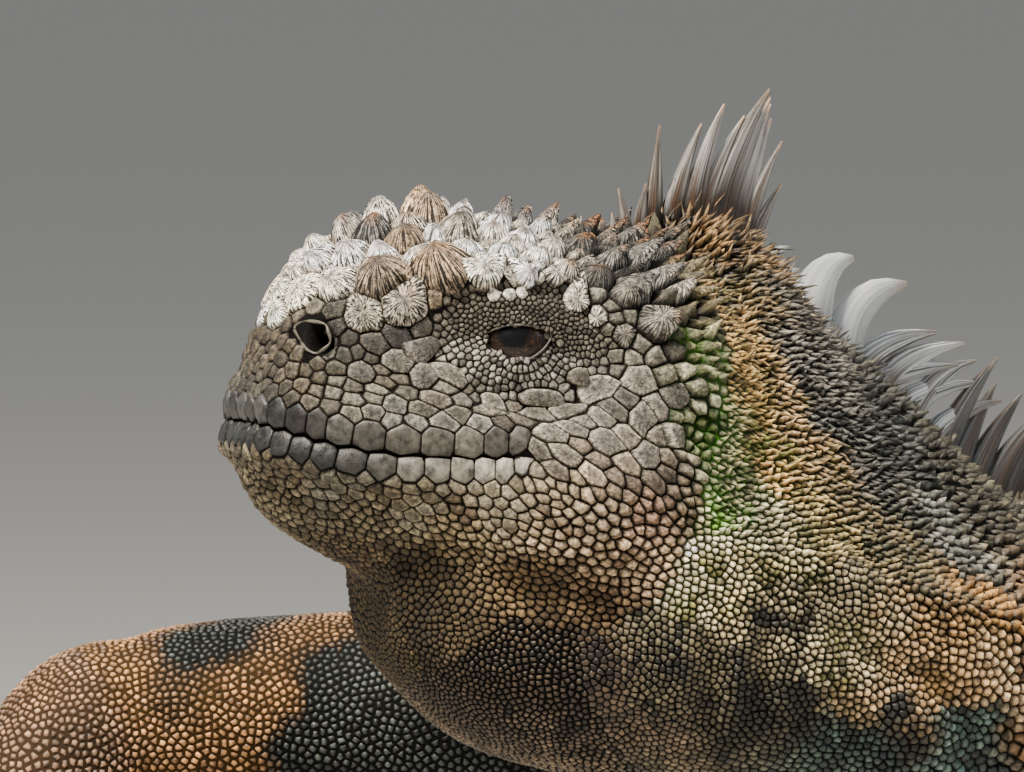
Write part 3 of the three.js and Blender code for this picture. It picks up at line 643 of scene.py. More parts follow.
# The head's bosses and plates: tall blunt scutes of keratin on the snout and brow, ribbed from the
# tip down and crusted with salt, each about as the photo has it, and the same on both sides.
# Columns: x, y and z in the head's frame, the half size, the height, how pointed it is, how far it
# leans back, and its colour. Those off the midline are given once and stand on both sides.
BOSSES = [
    (30.2, 3.6, 0.8, 2.4, 1.2, 0.5, 0, "pale"), (29.4, 0, 4, 2.3, 1.6, 0.5, 0, "pale"),
    (27.4, 5.6, 3.6, 3.3, 1.3, 0.35, 0, "cream"), (27.2, 1.7, 6.6, 1.9, 1.6, 0.6, 0, "grey"),
    (25.2, 4, 8, 2.2, 2.4, 0.75, 0, "grey"), (24.2, 0, 10.4, 2.2, 3, 0.85, 0, "pale"),
    (23.9, 10.4, 5.1, 2.7, 2, 0.6, 0, "pale"), (21.3, 7.2, 9.3, 2.4, 2.6, 0.75, 0, "grey"),
    (21, 0.9, 13.2, 2.4, 3.8, 0.9, 0.1, "dark"), (20.8, 15.2, 1.6, 2.5, 1, 0.3, 0, "dull"),
    (18.4, 13.9, 7, 3.5, 3.8, 0.8, 0, "brown"), (17.6, 4.6, 13, 2.6, 3.4, 0.85, 0.1, "slate"),
    (17.9, 10, 10.4, 2, 2, 0.75, 0, "pale"), (15.8, 17.2, 4, 3.2, 2, 0.6, 0, "dark"),
    (15.6, 0, 15.6, 2.5, 3.8, 0.8, 0, "pale"), (14.4, 9, 12.4, 2.7, 3, 0.85, 0, "rust"),
    (13.2, 4.8, 14.6, 2, 2.6, 0.85, 0.1, "pale"), (13, 13.2, 11, 1.9, 2, 0.8, 0, "pale"),
    (11, 17.1, 9.8, 3.9, 3.8, 0.8, 0, "rust"), (10.4, 9.8, 13.6, 1.9, 2.4, 0.85, 0, "grey"),
    (9.6, 2, 16.4, 3, 4.4, 0.85, 0.1, "rust"), (7.1, 9, 14.4, 3.1, 4, 0.95, 0.1, "dark"),
    (7, 13.8, 12.4, 2, 2.4, 0.85, 0, "pale"), (6, 5, 16.2, 2, 3, 0.9, 0.2, "grey"),
    (6, 20.4, 9.8, 2.4, 1.6, 0.6, 0, "pale"), (4.8, 1, 18.2, 2.2, 3.4, 0.95, 0.2, "grey"),
    (2.8, 9.6, 15.6, 2, 2.8, 0.9, 0.2, "grey"), (2.6, 16.8, 13, 1.9, 2.2, 0.8, 0, "pale"),
    (0.4, 13.4, 14.8, 1.8, 2.4, 0.9, 0.1, "grey"), (0.2, 21.2, 10.2, 1.9, 1.7, 0.7, 0, "grey"),
    (0.2, 5, 18, 1.8, 2.8, 0.95, 0.3, "grey"), (-1.7, 0.8, 18.4, 1.4, 4.4, 1, 0.1, "slate"),
    (-2.6, 9.4, 16.6, 1.7, 2.6, 0.95, 0.3, "grey"), (-2.8, 16.2, 13.2, 1.9, 2.4, 0.85, 0.1, "pale"),
    (-5.6, 12.8, 15.8, 1.8, 2.8, 0.9, 0.2, "grey"), (-4, 0.8, 18.4, 1.3, 3.6, 1, 0.3, "slate"),
    (-5.6, 4.6, 17.6, 1.6, 3, 1, 0.4, "grey"), (-7.6, 0, 19, 1.7, 4.4, 1, 0.4, "dark"),
    (-6.4, 18.6, 12.8, 2, 2.4, 0.85, 0.1, "pale"), (-10.2, 10.4, 16, 2.5, 3.4, 0.95, 0.4, "temple"),
    (-10.8, 18.4, 12, 2.3, 2.8, 0.9, 0.2, "temple"), (-11.6, 5, 18, 1.8, 3.8, 1, 0.6, "temple"),
    (-13.8, 13.4, 14.4, 2.1, 3.8, 1, 0.6, "temple"), (-16.2, 19.4, 11, 2.4, 3.4, 0.95, 0.5, "temple"),
    (-17.6, 12.6, 15.6, 2, 5, 1, 0.7, "temple"), (-18, 5.6, 18, 1.8, 4.6, 1, 0.7, "temple"),
    (-20.6, 16.4, 13, 2, 4.6, 1, 0.7, "temple"), (-22, 9.6, 16.6, 1.8, 4.8, 1, 0.7, "temple"),
    (-24.4, 4.4, 17, 1.6, 4.4, 1, 0.7, "temple"),
]
# Each kind's light, dark and groove colours.
BOSS_TINTS = {
    "cream": ("#ece2cd", "#cbbfa6", "#a5a062"), "pale": ("#ece4d5", "#cbc1af", "#a89c8b"),
    "grey": ("#fff8ea", "#d6ccbe", "#968b7b"), "dull": ("#8d8679", "#5f574b", "#57502c"),
    "dark": ("#b0a798", "#6f6658", "#8d8271"), "slate": ("#8f8e89", "#5a5956", "#7c7364"),
    "brown": ("#7a6d5c", "#493e33", "#857a69"), "rust": ("#b39a7c", "#726050", "#8a7d6b"),
    "temple": ("#6e6b64", "#302e28", "#221f1a"),
}
BROW_TINTS = ("#ece3d0", "#a69e8f", "#443c32")
TEMPLE_TO, TEMPLE_TONE = -12, 0.42
# The small bosses over the eye, set from the side: x, z, the half size, the height, how pointed.
BROW = [
    (7.3, 8.2, 2.3, 1.1, 0.3), (4.3, 6.6, 1.15, 0.8, 0.4), (2.3, 6.9, 1.05, 0.8, 0.4),
    (0.7, 7.3, 1, 0.8, 0.4), (1.9, 9.2, 0.95, 0.8, 0.5), (0.1, 9.4, 0.95, 0.8, 0.5),
    (-1.6, 9.7, 1, 0.8, 0.5), (-3.9, 10.2, 1.8, 1.2, 0.6), (-9.9, 10.6, 2.4, 2.8, 0.85),
    (-7.4, 7.6, 2.3, 1.2, 0.4), (-10.6, 5.6, 1.6, 1.1, 0.5), (-14.4, 8.8, 2.3, 2.6, 0.8),
    (-18.8, 5.8, 3.2, 4.2, 0.85), (-14.2, 3.6, 1.7, 1.2, 0.5), (-22.4, 10, 2.2, 3.4, 0.9),
]
# The cheek's large plates: x, z, the half size, the stretch and the tilt in degrees.
PLATES = [
    (8.6, -5, 1.6, 2, -32), (2.8, -7.7, 1.25, 1.7, -25), (-3.3, -6.2, 1.45, 2.6, 8),
    (-8.3, -2.6, 1.2, 1.6, 25), (-11.2, -4.2, 2.3, 1.6, 18), (-16.6, -2.2, 2.3, 1.15, 0),
    (-2.9, -8.9, 1.1, 2.3, -8), (-7.2, -7.9, 1.25, 2, -5), (-11.9, -8.2, 1.2, 1.5, -12),
    (-17.6, -7.4, 2.5, 0.75, 0), (-5, -11.3, 1.05, 2.4, -14), (-8.2, -10.2, 0.95, 1.9, -18),
    (-12.4, -11.2, 2, 1.4, -28), (-18.6, -12.3, 2, 1, -20), (-22.2, -3.8, 2, 1, 0),
    (-22.6, -9.2, 2.1, 1, 0), (16.4, -4.2, 1.7, 1.4, -20), (12.6, -5.8, 1.6, 1.3, 10),
    (20.6, -6.2, 1.6, 1.3, -10), (12, -1.4, 1.5, 1.2, 20), (19.4, -2.2, 1.4, 1.6, -25),
]


def on_side(x, z):
    """Points at the head's x and z, out on its left side."""
    x, z = np.asarray(x, float), np.asarray(z, float)
    start = from_head(np.stack([x, np.full(len(x), 60.0), z], 1))
    way = Vector(turned_out([[0, -1, 0]])[0])
    return np.array([hide.ray_cast(Vector(p), way)[0] or Vector(p) for p in start])


def both_sides(points):
    """Points on the left of the head, and the same on its right."""
    flipped = into_head(points) * (1, -1, 1)
    return np.concatenate([points, from_head(flipped)])


BACK = turned_out([[-1, 0, 0]])[0]
for tint_name, trio in BOSS_TINTS.items():
    rows = [b for b in BOSSES if b[7] == tint_name]
    rows += [(r[0], -r[1], *r[2:]) for r in rows if r[1]]
    spot = np.array([r[:7] for r in rows])
    at, (size, tall, peak, lean) = from_head(spot[:, :3]), spot[:, 3:].T
    vary = np.exp(chance.normal(0, 0.08, len(at)))
    sow("head_bosses", at, BACK, size * 1.24, 1.0, tall * vary, peak, lean,
        tinted(*colours(trio), at, 9, 3), thin=0.92, fixed=True, ribs=1.0)
for x, z, size, tall, peak in BROW:
    at = both_sides(on_side([x], [z]))
    tints = tinted(*colours(BROW_TINTS), at, 6, 4) * (TEMPLE_TONE if x < TEMPLE_TO else 1)
    sow("head_bosses", at, BACK, size, 1.0, tall, peak, 0.5 if tall > 2 else 0, tints, fixed=True, ribs=0.8)
for x, z, size, stretch, tilt in PLATES:
    a = math.radians(tilt)
    at = both_sides(on_side([x], [z]))
    lie = turned_out([[-math.cos(a), 0, math.sin(a)]])[0]
    tones = ("#69635a", "#3f3931", "#1e1a14") if x > 10 else ("#837c70", "#544e44", "#2b261e")
    sow("face_scales", at, lie, size, stretch, 0.55 + 0.1 * size, 0.2, 0.25,
        tinted(*colours(tones), at, 6, 5), fixed=True, ribs=0.5)

# The lip plates: one row of large smooth plates along each lip, near black at the front and paler
# to the back, with a straight edge along the mouth's line.
UPPER_LIP = [4.2, 2.9, 3.2, 3.3, 3.3, 2.8, 3.8, 4.5, 4.9, 4.6, 4.0, 3.4, 2.8]
LOWER_LIP = [3.6, 2.2, 2.3, 3.4, 3.3, 3.2, 3.6, 4.3, 4.2, 3.8, 3.6, 3.2, 3.0, 2.6, 2.4]
UPPER_HIGH = 4.4
LOWER_HIGH = 3.7
LIP_GAP = 0.05
# Each lip's plates, their height, up or down, how far back the lip is black, and the light and dark
# colours at its front and at its back.
LIPS = [
    (UPPER_LIP, UPPER_HIGH, 1, 12, ("#41413e", "#1b1a19"), ("#555149", "#2a2722")),
    (LOWER_LIP, LOWER_HIGH, -1, 22, ("#202220", "#0d0e0d"), ("#8f8a7d", "#4d493e")),
]


def run_along(path):
    """How far along a path each of its points is."""
    return np.concatenate([[0], np.cumsum(np.linalg.norm(np.diff(path, axis=0), axis=1))])


def lip_roots(widths, lift):
    """Where the plates of one lip stand, both ways from the snout's tip."""
    line = lip_line(0, 0)
    half = len(line) // 2
    path = line[half:]
    run = run_along(path[:, :2])
    reach = np.cumsum(widths) - np.array(widths) / 2
    x, y = (np.interp(reach, run, path[:, i]) for i in (0, 1))
    z = mouth_height(x) + lift
    right = np.stack([x, y, z], 1)
    at = from_head(np.concatenate([right, right * (1, -1, 1)]))
    return at, np.tile(np.array(widths) / 2, 2), np.tile(reach, 2)


for widths, high, sign, black, front, back in LIPS:
    at, half, reach = lip_roots(widths, sign * (high / 2 + LIP_GAP))
    fade = np.clip((reach - black) / 20, 0, 1)[:, None]
    light, dark = (colours([front[i]]) * (1 - fade) + colours([back[i]]) * fade for i in (0, 1))
    sow("lip_plates", at, -sign * turned_out([[0, 0, 1]])[0], half, high / 2 / half, 0.45, 0.05, 0,
        tinted(light, dark, colours(["#15120f"]), at, 4, 6), fixed=True)

# The eyelids: rows of small beads round the opening, on thin folded skin.
LID_ROWS = [0.42, 1.05, 1.72, 2.42, 3.15, 3.9, 4.7, 5.5]
LID_REACH = (11.0, 7.9)
BEAD, BEAD_GROWTH = 0.62, 0.05


def eye_loop(count):
    """The edge of the eye's opening, from the front corner over the top, x and z."""
    loop = np.array(EYE_OPENING)
    t = np.linspace(0, len(loop), count, endpoint=False)
    i = np.floor(t).astype(int)
    near = [loop[(i + k) % len(loop)] for k in (-1, 0, 1, 2)]
    return catmull(*near, (t - i)[:, None])


edge = eye_loop(240)
middle = edge.mean(0)
for j, off in enumerate(LID_ROWS):
    out = unit(edge - middle)
    share = off / LID_ROWS[-1]
    limit = np.array(LID_REACH) * out
    ring = (edge + out * off) * (1 - share ** 2) + (np.array([EYE["x"], EYE["z"]]) + limit) * share ** 2
    closed = np.vstack([ring, ring[:1]])
    run = run_along(closed)
    bead = BEAD + BEAD_GROWTH * j
    count = int(run[-1] / (bead * 1.08))
    stops = (np.arange(count) + 0.5 * (j % 2)) * run[-1] / count
    x, z = (np.interp(stops, run, closed[:, i]) for i in (0, 1))
    under = np.clip((middle[1] - z) / 2, 0, 1)
    size = bead * (0.44 + 0.22 * under)
    at = both_sides(on_side(x, z))
    spokes = np.stack([x - middle[0], 0 * x, z - middle[1]], 1)
    outward = turned_out(np.concatenate([spokes, spokes]))
    pale = np.tile(under, 2)[:, None] * (1 - 0.5 * share)
    light = colours(["#625b4e"]) * (1 - pale) + colours(["#c0bbac"]) * pale
    stretch = 1.05 + 0.4 * np.tile(under, 2) * (j < 3)
    sow("eyelid_beads", at, outward, np.tile(size, 2), stretch, 0.34, 0.5, 0,
        tinted(light, colours(["#3d382f"]), colours(["#100d0a"]), at, 2.5, 7), thin=0.7)

# The rest of the head: small plates, folded rows over the lips, beads on chin and jaw, and
# the domed scales of the jowl, all grown as the nearest named place has them. Columns: the head's
# x and z, the half size, the stretch along the lie, the height, how pointed, then the light, dark
# and groove colours.
FACE = [
    (31, -3, 0.95, 1, 0.75, 0.6, "#554c3a", "#2e261a", "#0e0905"),
    (28, -8, 1, 1.1, 0.65, 0.5, "#534a3b", "#2a2116", "#0c0905"),
    (32, 3, 1.3, 1, 0.9, 0.6, "#a29885", "#706551", "#34291e"),
    (31, -11, 1.2, 1, 0.6, 0.4, "#464135", "#211c15", "#0a0805"),
    (23, -3, 1.15, 1.1, 0.5, 0.35, "#423f36", "#211d16", "#0b0805"),
    (20, 1, 1.5, 1.2, 0.55, 0.3, "#36332c", "#1b1610", "#070603"),
    (14, -1, 1.6, 1.15, 0.5, 0.3, "#363430", "#1c1813", "#060503"),
    (8.5, 1, 0.9, 1, 0.5, 0.5, "#544d41", "#26211a", "#0b0806"),
    (8.5, 5, 0.9, 1.1, 0.5, 0.5, "#87785d", "#473a2a", "#150f0a"),
    (24, -10.5, 0.95, 1.4, 0.5, 0.35, "#716b5e", "#443d32", "#120d08"),
    (18, -7.9, 0.75, 2.2, 0.4, 0.4, "#898172", "#534b3e", "#17120d"),
    (10, -7, 0.75, 2.4, 0.4, 0.4, "#867e70", "#524a3d", "#17120d"),
    (2, -9, 0.8, 2.2, 0.4, 0.4, "#817869", "#4d463a", "#17100c"),
    (16, -10.6, 1.2, 1.25, 0.45, 0.2, "#817d74", "#5d594f", "#18140f"),
    (6, -10.2, 1.2, 1.3, 0.45, 0.2, "#7d796f", "#585245", "#17130d"),
    (-3, -12.6, 1.15, 2, 0.45, 0.35, "#7a7467", "#4c4439", "#130f0a"),
    (-8, -14, 1.25, 2, 0.55, 0.4, "#7f7768", "#494034", "#120d09"),
    (-13, -15, 1.25, 2, 0.6, 0.45, "#8f806c", "#504435", "#140f09"),
    (-15, -4, 1.5, 1.7, 0.7, 0.4, "#777067", "#433e33", "#140f0b"),
    (-20, -6, 1.5, 1.7, 0.9, 0.6, "#6f695e", "#3c352c", "#100c07"),
    (-20, -14, 1.3, 1.8, 0.9, 0.6, "#877a68", "#493e31", "#140f0b"),
    (-24, -2, 1.3, 1.2, 1.8, 0.95, "#8e8c72", "#26221b", "#141f08"),
    (-24, -12, 1, 1.5, 1.3, 0.85, "#8b806d", "#42392b", "#140f08"),
    (-10, 1.5, 0.75, 1.1, 0.45, 0.5, "#5a5645", "#28241d", "#0d0a08"),
    (-14, 1, 1.1, 1.1, 0.6, 0.5, "#6c675b", "#332f26", "#0f0b08"),
    (-18, 1, 1.3, 1.1, 1, 0.7, "#6c675b", "#2b271f", "#0d0a07"),
    (-22, 4, 1.4, 1.2, 2, 1, "#575246", "#16130e", "#050403"),
    (-3, 12.5, 1, 1, 1.2, 0.85, "#fffff0", "#dbceb5", "#4e453a"),
    (4, 11.5, 1.2, 1, 1.2, 0.8, "#fffff5", "#ded2bb", "#554a3e"),
    (14, 8, 1.2, 1, 1.2, 0.8, "#f9edd7", "#ab9d86", "#443a2e"),
    (-4, 17, 1.2, 1, 1.9, 1, "#fff6e1", "#d6c8af", "#483f34"),
    (4, 17, 1.4, 1, 1.9, 0.95, "#fff5e0", "#d4c6af", "#483f34"),
    (14, 16, 1.5, 1, 2, 0.9, "#fff3de", "#c6b6a0", "#483e34"),
    (-11, 16, 1.2, 1.1, 2.4, 1, "#cfc6b3", "#a09681", "#312b23"),
    (-18, 16, 1.25, 1.2, 3.2, 1, "#524c44", "#2a271f", "#0f0d08"),
    (-18, 11, 1.25, 1.2, 3.2, 1, "#444038", "#201c16", "#0c0906"),
    (-25, 14, 1.1, 1.2, 3, 1, "#686148", "#302c18", "#0f0d07"),
    (-26, 8, 1.05, 1.2, 2.4, 1, "#7d7350", "#3b341d", "#100f08"),
    (22, -22.6, 0.95, 1.3, 0.5, 0.35, "#747060", "#453e2b", "#13100a"),
    (10, -23, 0.95, 1.35, 0.5, 0.3, "#877f6a", "#564b33", "#17130b"),
    (0, -21.5, 0.85, 1.35, 0.5, 0.35, "#8f856f", "#5c5239", "#18120b"),
    (26, -25, 0.66, 1.1, 0.5, 0.5, "#84775b", "#4a3d26", "#130f06"),
    (16, -26.5, 0.62, 1.15, 0.45, 0.5, "#776b51", "#423521", "#100c05"),
    (16, -31, 0.54, 1.1, 0.42, 0.5, "#6f5d40", "#382a18", "#0e0903"),
    (4, -26.5, 0.55, 1.4, 0.45, 0.5, "#8e7c59", "#503f2a", "#140f05"),
    (-6, -20.5, 0.62, 1.6, 0.6, 0.5, "#a29072", "#5d4c38", "#16100a"),
    (-7, -25, 0.6, 1.35, 0.7, 0.55, "#c3ab88", "#6c563f", "#1a130d"),
    (-13, -21, 0.75, 1.3, 0.85, 0.6, "#b59f80", "#69563f", "#16110a"),
    (-20, -21, 0.78, 1.25, 0.9, 0.6, "#b9977b", "#6c523e", "#16100a"),
    (-15, -28, 0.62, 1.35, 0.85, 0.6, "#c5a883", "#6f5640", "#16130d"),
    (-23, -27, 0.62, 1.3, 0.85, 0.6, "#d2b38e", "#735a45", "#1a150c"),
    (-6, -31, 0.5, 1.35, 0.5, 0.5, "#77603e", "#3d2e1a", "#0f0a04"),
    (6, -33, 0.52, 1, 0.4, 0.5, "#4e3f25", "#251b0c", "#090603"),
    (-16, -35, 0.5, 1.3, 0.6, 0.55, "#8e714e", "#45341d", "#0e0903"),
    (-27, -20, 0.7, 1.1, 0.9, 0.7, "#a18e6d", "#514227", "#161807"),
    (-27, -10, 0.75, 1, 1.1, 0.85, "#a2a67c", "#3f481e", "#265108"),
    (-26.5, 3, 0.8, 1.1, 1.8, 1, "#b2ad82", "#34381a", "#38600f"),
]
HEAD_CANDIDATES = 90000
# Where the head's scales end: x at heights from low to high, z along the throat from back to front.
HEAD_BACK = [(-40, -14), (-30, -24), (-15, -28), (0, -28), (12, -27), (20, -24)]
HEAD_LOW = [(-30, -36), (-10, -37), (10, -36), (30, -34)]
HEAD_WIDE = 34


def random_roots(count, keep):
    """Even random places on the part of the skin that keep picks by its corners."""
    corners = skin_points[skin_faces]
    centre = corners.mean(1)
    chosen = np.nonzero(keep(centre))[0]
    corners = corners[chosen]
    area = np.linalg.norm(np.cross(corners[:, 1] - corners[:, 0], corners[:, 2] - corners[:, 0]), axis=1)
    pick = chance.choice(len(area), count, p=area / area.sum())
    a, b = chance.random((2, count, 1))
    flip = a + b > 1
    a, b = np.where(flip, 1 - a, a), np.where(flip, 1 - b, b)
    c = corners[pick]
    return c[:, 0] + a * (c[:, 1] - c[:, 0]) + b * (c[:, 2] - c[:, 0])


def on_head(points):
    """Whether points of the skin belong to the head, not to the neck and throat behind it."""
    local = into_head(points)
    x, z = local[:, 0], local[:, 2]
    return ((x > np.interp(z, *zip(*HEAD_BACK))) & (z > np.interp(x, *zip(*HEAD_LOW)))
            & (np.abs(local[:, 1]) < HEAD_WIDE))


face = np.array([row[:6] for row in FACE], float)
face_light, face_dark, face_groove = (colours([row[i] for row in FACE]) for i in (6, 7, 8))


def sow_face(at):
    """Roots on the head, each as the places of the face near it say."""
    local = into_head(at)
    flat = np.stack([local[:, 0], local[:, 2]], 1)
    weight = shares(face[:, :2], flat, 1.0)
    size, stretch, tall, peak = (weight @ face[:, i] for i in (2, 3, 4, 5))
    high = (local[:, 2] > 9)[:, None]
    jowl = ((local[:, 0] < 2) & (local[:, 2] < -2) & (local[:, 2] > -20))[:, None]
    way = np.where(high, [[-1, 0, 0.1]], np.where(jowl, [[-1, 0, -0.6]], [[-1, 0, -0.15]]))
    lie = turned_out(way)
    spiky = np.clip((peak - 0.7) / 0.3, 0, 1)
    tints = tinted(weight @ face_light, weight @ face_dark, weight @ face_groove, at, 5, 8, 0.6)
    vary = np.exp(chance.normal(0, 0.12, len(at)))
    sow("face_scales", at, lie, size * vary, stretch, tall * vary, peak, 0.55 * spiky, tints)


sow_face(random_roots(HEAD_CANDIDATES, on_head))

# The body's granules: small scales in rows across neck, trunk and tail and round the limbs, moss
# green and orange on the neck's bronze, black at the shoulders and rusty on flanks and limbs.
# Columns of the places: x and z, the height and how pointed, then light, dark and groove colours.
BODY_PLACES = [
    (-168, 82, 0.5, 0.5, "#685335", "#2d2211", "#0c0803"),
    (-162, 74, 0.5, 0.5, "#4a3a22", "#1e140a", "#060402"),
    (-160, 66, 0.5, 0.5, "#3b2f1f", "#150e07", "#050402"),
    (-156, 58, 0.5, 0.5, "#584939", "#1a120c", "#080503"),
    (-150, 46, 0.5, 0.5, "#695842", "#272015", "#0e0a06"),
    (-150, 98, 1.6, 0.95, "#fdea97", "#58692e", "#2c4d0c"),
    (-143, 103, 1.9, 1, "#f2e1a4", "#548137", "#3a6f06"),
    (-146, 92, 1.7, 0.95, "#ffedd8", "#9bce58", "#45780c"),
    (-146, 82, 1, 0.75, "#eedebe", "#7e773d", "#2d3a0e"),
    (-136, 108, 2.2, 1, "#ffcc7a", "#5f5327", "#343a0e"),
    (-131, 112, 2.2, 1, "#ddb070", "#675b35", "#1f210e"),
    (-128, 120, 2.4, 1, "#9d8758", "#3b3922", "#16160f"),
    (-119, 108, 1.9, 1, "#7e7a70", "#2b2824", "#0e0e0b"),
    (-131, 94, 1.9, 0.95, "#efbd7a", "#6f7035", "#353f10"),
    (-140, 80, 1.2, 0.8, "#c6b47f", "#605b30", "#252e0d"),
    (-146, 69, 0.7, 0.6, "#665d44", "#16140c", "#070604"),
    (-130, 75, 0.7, 0.6, "#97886c", "#4b442a", "#151206"),
    (-128, 86, 1.6, 0.9, "#cab178", "#59572b", "#20240b"),
    (-116, 98, 1.8, 1, "#60615b", "#2c2e28", "#10120f"),
    (-109, 94, 1.8, 1, "#505049", "#282a25", "#0b0d0a"),
    (-113, 82, 1.1, 0.8, "#87754f", "#45422c", "#181a0e"),
    (-106, 74, 1.1, 0.8, "#ba8845", "#775329", "#221606"),
    (-125, 66, 0.8, 0.7, "#caa67a", "#6d5e38", "#211f0d"),
    (-117, 72, 1, 0.75, "#b08a55", "#624f2e", "#130f06"),
    (-108, 65, 0.8, 0.7, "#ebc596", "#aa8c5b", "#392b12"),
    (-115, 65, 0.8, 0.7, "#d6ac76", "#967748", "#332512"),
    (-111, 56, 0.7, 0.65, "#5c7268", "#172220", "#060c0d"),
    (-125, 56, 0.6, 0.6, "#485c51", "#111d22", "#03070a"),
    (-112, 46, 0.6, 0.6, "#314b4e", "#132023", "#04080b"),
    (-95, 90, 1.2, 0.9, "#494435", "#2a281f", "#0e0e0b"),
    (-92, 62, 0.8, 0.7, "#96683e", "#382818", "#0e0a06"),
    (-90, 40, 0.6, 0.5, "#4c4942", "#22201c", "#0a0908"),
    (-60, 84, 1, 0.8, "#65604c", "#2b2a23", "#0f0f0c"),
    (-50, 58, 0.7, 0.6, "#a86638", "#4b3120", "#120b06"),
    (-45, 30, 0.6, 0.5, "#705c44", "#332a20", "#0e0b08"),
    (0, 84, 0.9, 0.8, "#5c5848", "#282721", "#0e0e0c"), (5, 52, 0.7, 0.6, "#ad653a", "#4a2d1d", "#120a05"),
    (5, 22, 0.6, 0.5, "#7c674a", "#3b3023", "#0f0c08"), (60, 80, 0.8, 0.7, "#585548", "#272621", "#0d0d0b"),
    (60, 50, 0.7, 0.6, "#a05f38", "#442e1d", "#110a05"),
    (60, 22, 0.6, 0.5, "#78654a", "#392f23", "#0f0c08"),
    (120, 66, 0.8, 0.7, "#575347", "#272520", "#0d0c0a"),
    (120, 38, 0.7, 0.6, "#895838", "#3a2a1e", "#100a06"),
    (170, 55, 0.9, 0.8, "#534f45", "#26241f", "#0c0c0a"),
    (170, 25, 0.8, 0.7, "#785339", "#34271c", "#0e0a07"),
    (240, 40, 0.9, 0.8, "#4f4c44", "#25231e", "#0c0b0a"),
    (240, 15, 0.8, 0.7, "#63503c", "#2d251d", "#0d0a08"),
    (340, 25, 0.9, 0.8, "#4c4840", "#24221e", "#0b0a09"),
    (500, 16, 0.9, 0.8, "#48453e", "#22201d", "#0a0a09"),
    (640, 8, 0.8, 0.7, "#43403a", "#201e1b", "#0a0908"),
    (-125, 126, 2.3, 1, "#8b6a40", "#1d1712", "#0b0907"),
    (-125, 101, 1.9, 1, "#dcb585", "#7d6838", "#2a2a10"),
    (-140.5, 94, 1.7, 0.95, "#aba47c", "#2a3310", "#2f6008"),
    (-138.5, 86, 1.4, 0.85, "#d8caa4", "#3a3818", "#1c2a0a"),
    (-141, 68, 0.7, 0.6, "#27231a", "#0b0906", "#060503"),
    (-138, 74.5, 1, 0.75, "#cbb78e", "#3d3820", "#141607"),
    (-135, 73, 0.8, 0.7, "#675f48", "#211f14", "#0b0c06"),
    (-134, 63, 0.7, 0.6, "#232218", "#0a0b06", "#070804"),
    (-130, 69, 1, 0.75, "#d2c097", "#6c6a35", "#23270f"),
    (-121, 85, 1.4, 0.9, "#8f7b58", "#39381f", "#15180a"),
    (-103, 97, 1.6, 0.9, "#3e3f39", "#23241f", "#0e0f0c"),
    (-104, 84, 1.2, 0.85, "#87867a", "#4d5044", "#1b1d16"),
    (-120, 58, 0.7, 0.6, "#2b2b25", "#131410", "#0a0b08"),
]
# How wide the scales are at places along the body.
BODY_PITCH = [(0.9, 0.85), (1.8, 0.92), (2.5, 1.0), (4, 1.3), (5.5, 2.0), (7, 2.7), (12, 3.0), (14, 3.4),
              (19, 3.0), (21.7, 2.4)]
ROW_STEP, ROW_JITTER = 0.9, 0.3
BESIDE_CREST = 0.035
LIMB_PITCH = 2.4
NEAR_ARM_PITCH = 1.02
DIGIT_PITCH = 2.3
LIMB_NAMES = ("right_arm", "left_arm", "right_leg", "left_leg")
DIGIT_TINTS = ("#6b6152", "#332e28", "#13110e")
# Down a limb from 0 to 1: the light, dark and groove colours.
LIMB_PLACES = [
    (0, "#4f544f", "#1f231c", "#12130f"), (0.31, "#2a2f2d", "#121614", "#0a0c0b"),
    (0.39, "#be8a56", "#805b34", "#3c2b12"), (0.6, "#9f7b60", "#6c543e", "#3e2e1e"),
    (0.85, "#8c7256", "#4c3e2c", "#1c150d"), (1, "#6e6455", "#35302a", "#14120f"),
]


def rows_round(place, start, end, pitch):
    """Roots in rows round a form, each row set half a step from the one before."""
    at, lie, size, share, round_it = [], [], [], [], []
    turns = np.linspace(0, 1, 97)
    t, odd = start, 0
    while t < end:
        ring, ahead = place(t, turns), place(t + 0.02, turns)
        run = run_along(ring)
        wide = pitch(t)
        count = max(5, round(run[-1] / wide))
        turn = np.interp((np.arange(count) + odd / 2) / count * run[-1], run, turns)
        at.append(place(t, turn))
        lie.append(unit(place(t + 0.02, turn) - at[-1]))
        size.append(np.full(count, wide / 2))
        share.append(np.full(count, t))
        round_it.append(turn)
        t += ROW_STEP * wide * 0.02 / np.median(np.linalg.norm(ahead - ring, axis=1))
        odd = 1 - odd
    at, lie, size, share, round_it = (np.concatenate(v) for v in (at, lie, size, share, round_it))
    return at + chance.normal(0, ROW_JITTER, at.shape) * size[:, None], lie, size, share, round_it


body_spots = np.array([row[:4] for row in BODY_PLACES], float)
body_light, body_dark, body_groove = (colours([row[i] for row in BODY_PLACES]) for i in (4, 5, 6))
limb_stops = [row[0] for row in LIMB_PLACES]
limb_colours = np.array([colours(row[1:]).ravel() for row in LIMB_PLACES])


def body_tints(at):
    """The colours, the height and the sharpness of the scales at some places on the body."""
    flat = np.stack([at[:, 0], at[:, 2]], 1)
    flat += np.stack([mottle(at, 9, 11), mottle(at, 9, 12)], 1) * 6 - 3
    weight = shares(body_spots[:, :2], flat, 3)
    tall, peak = weight @ body_spots[:, 2], weight @ body_spots[:, 3]
    return tinted(weight @ body_light, weight @ body_dark, weight @ body_groove, at, 7, 13), tall, peak


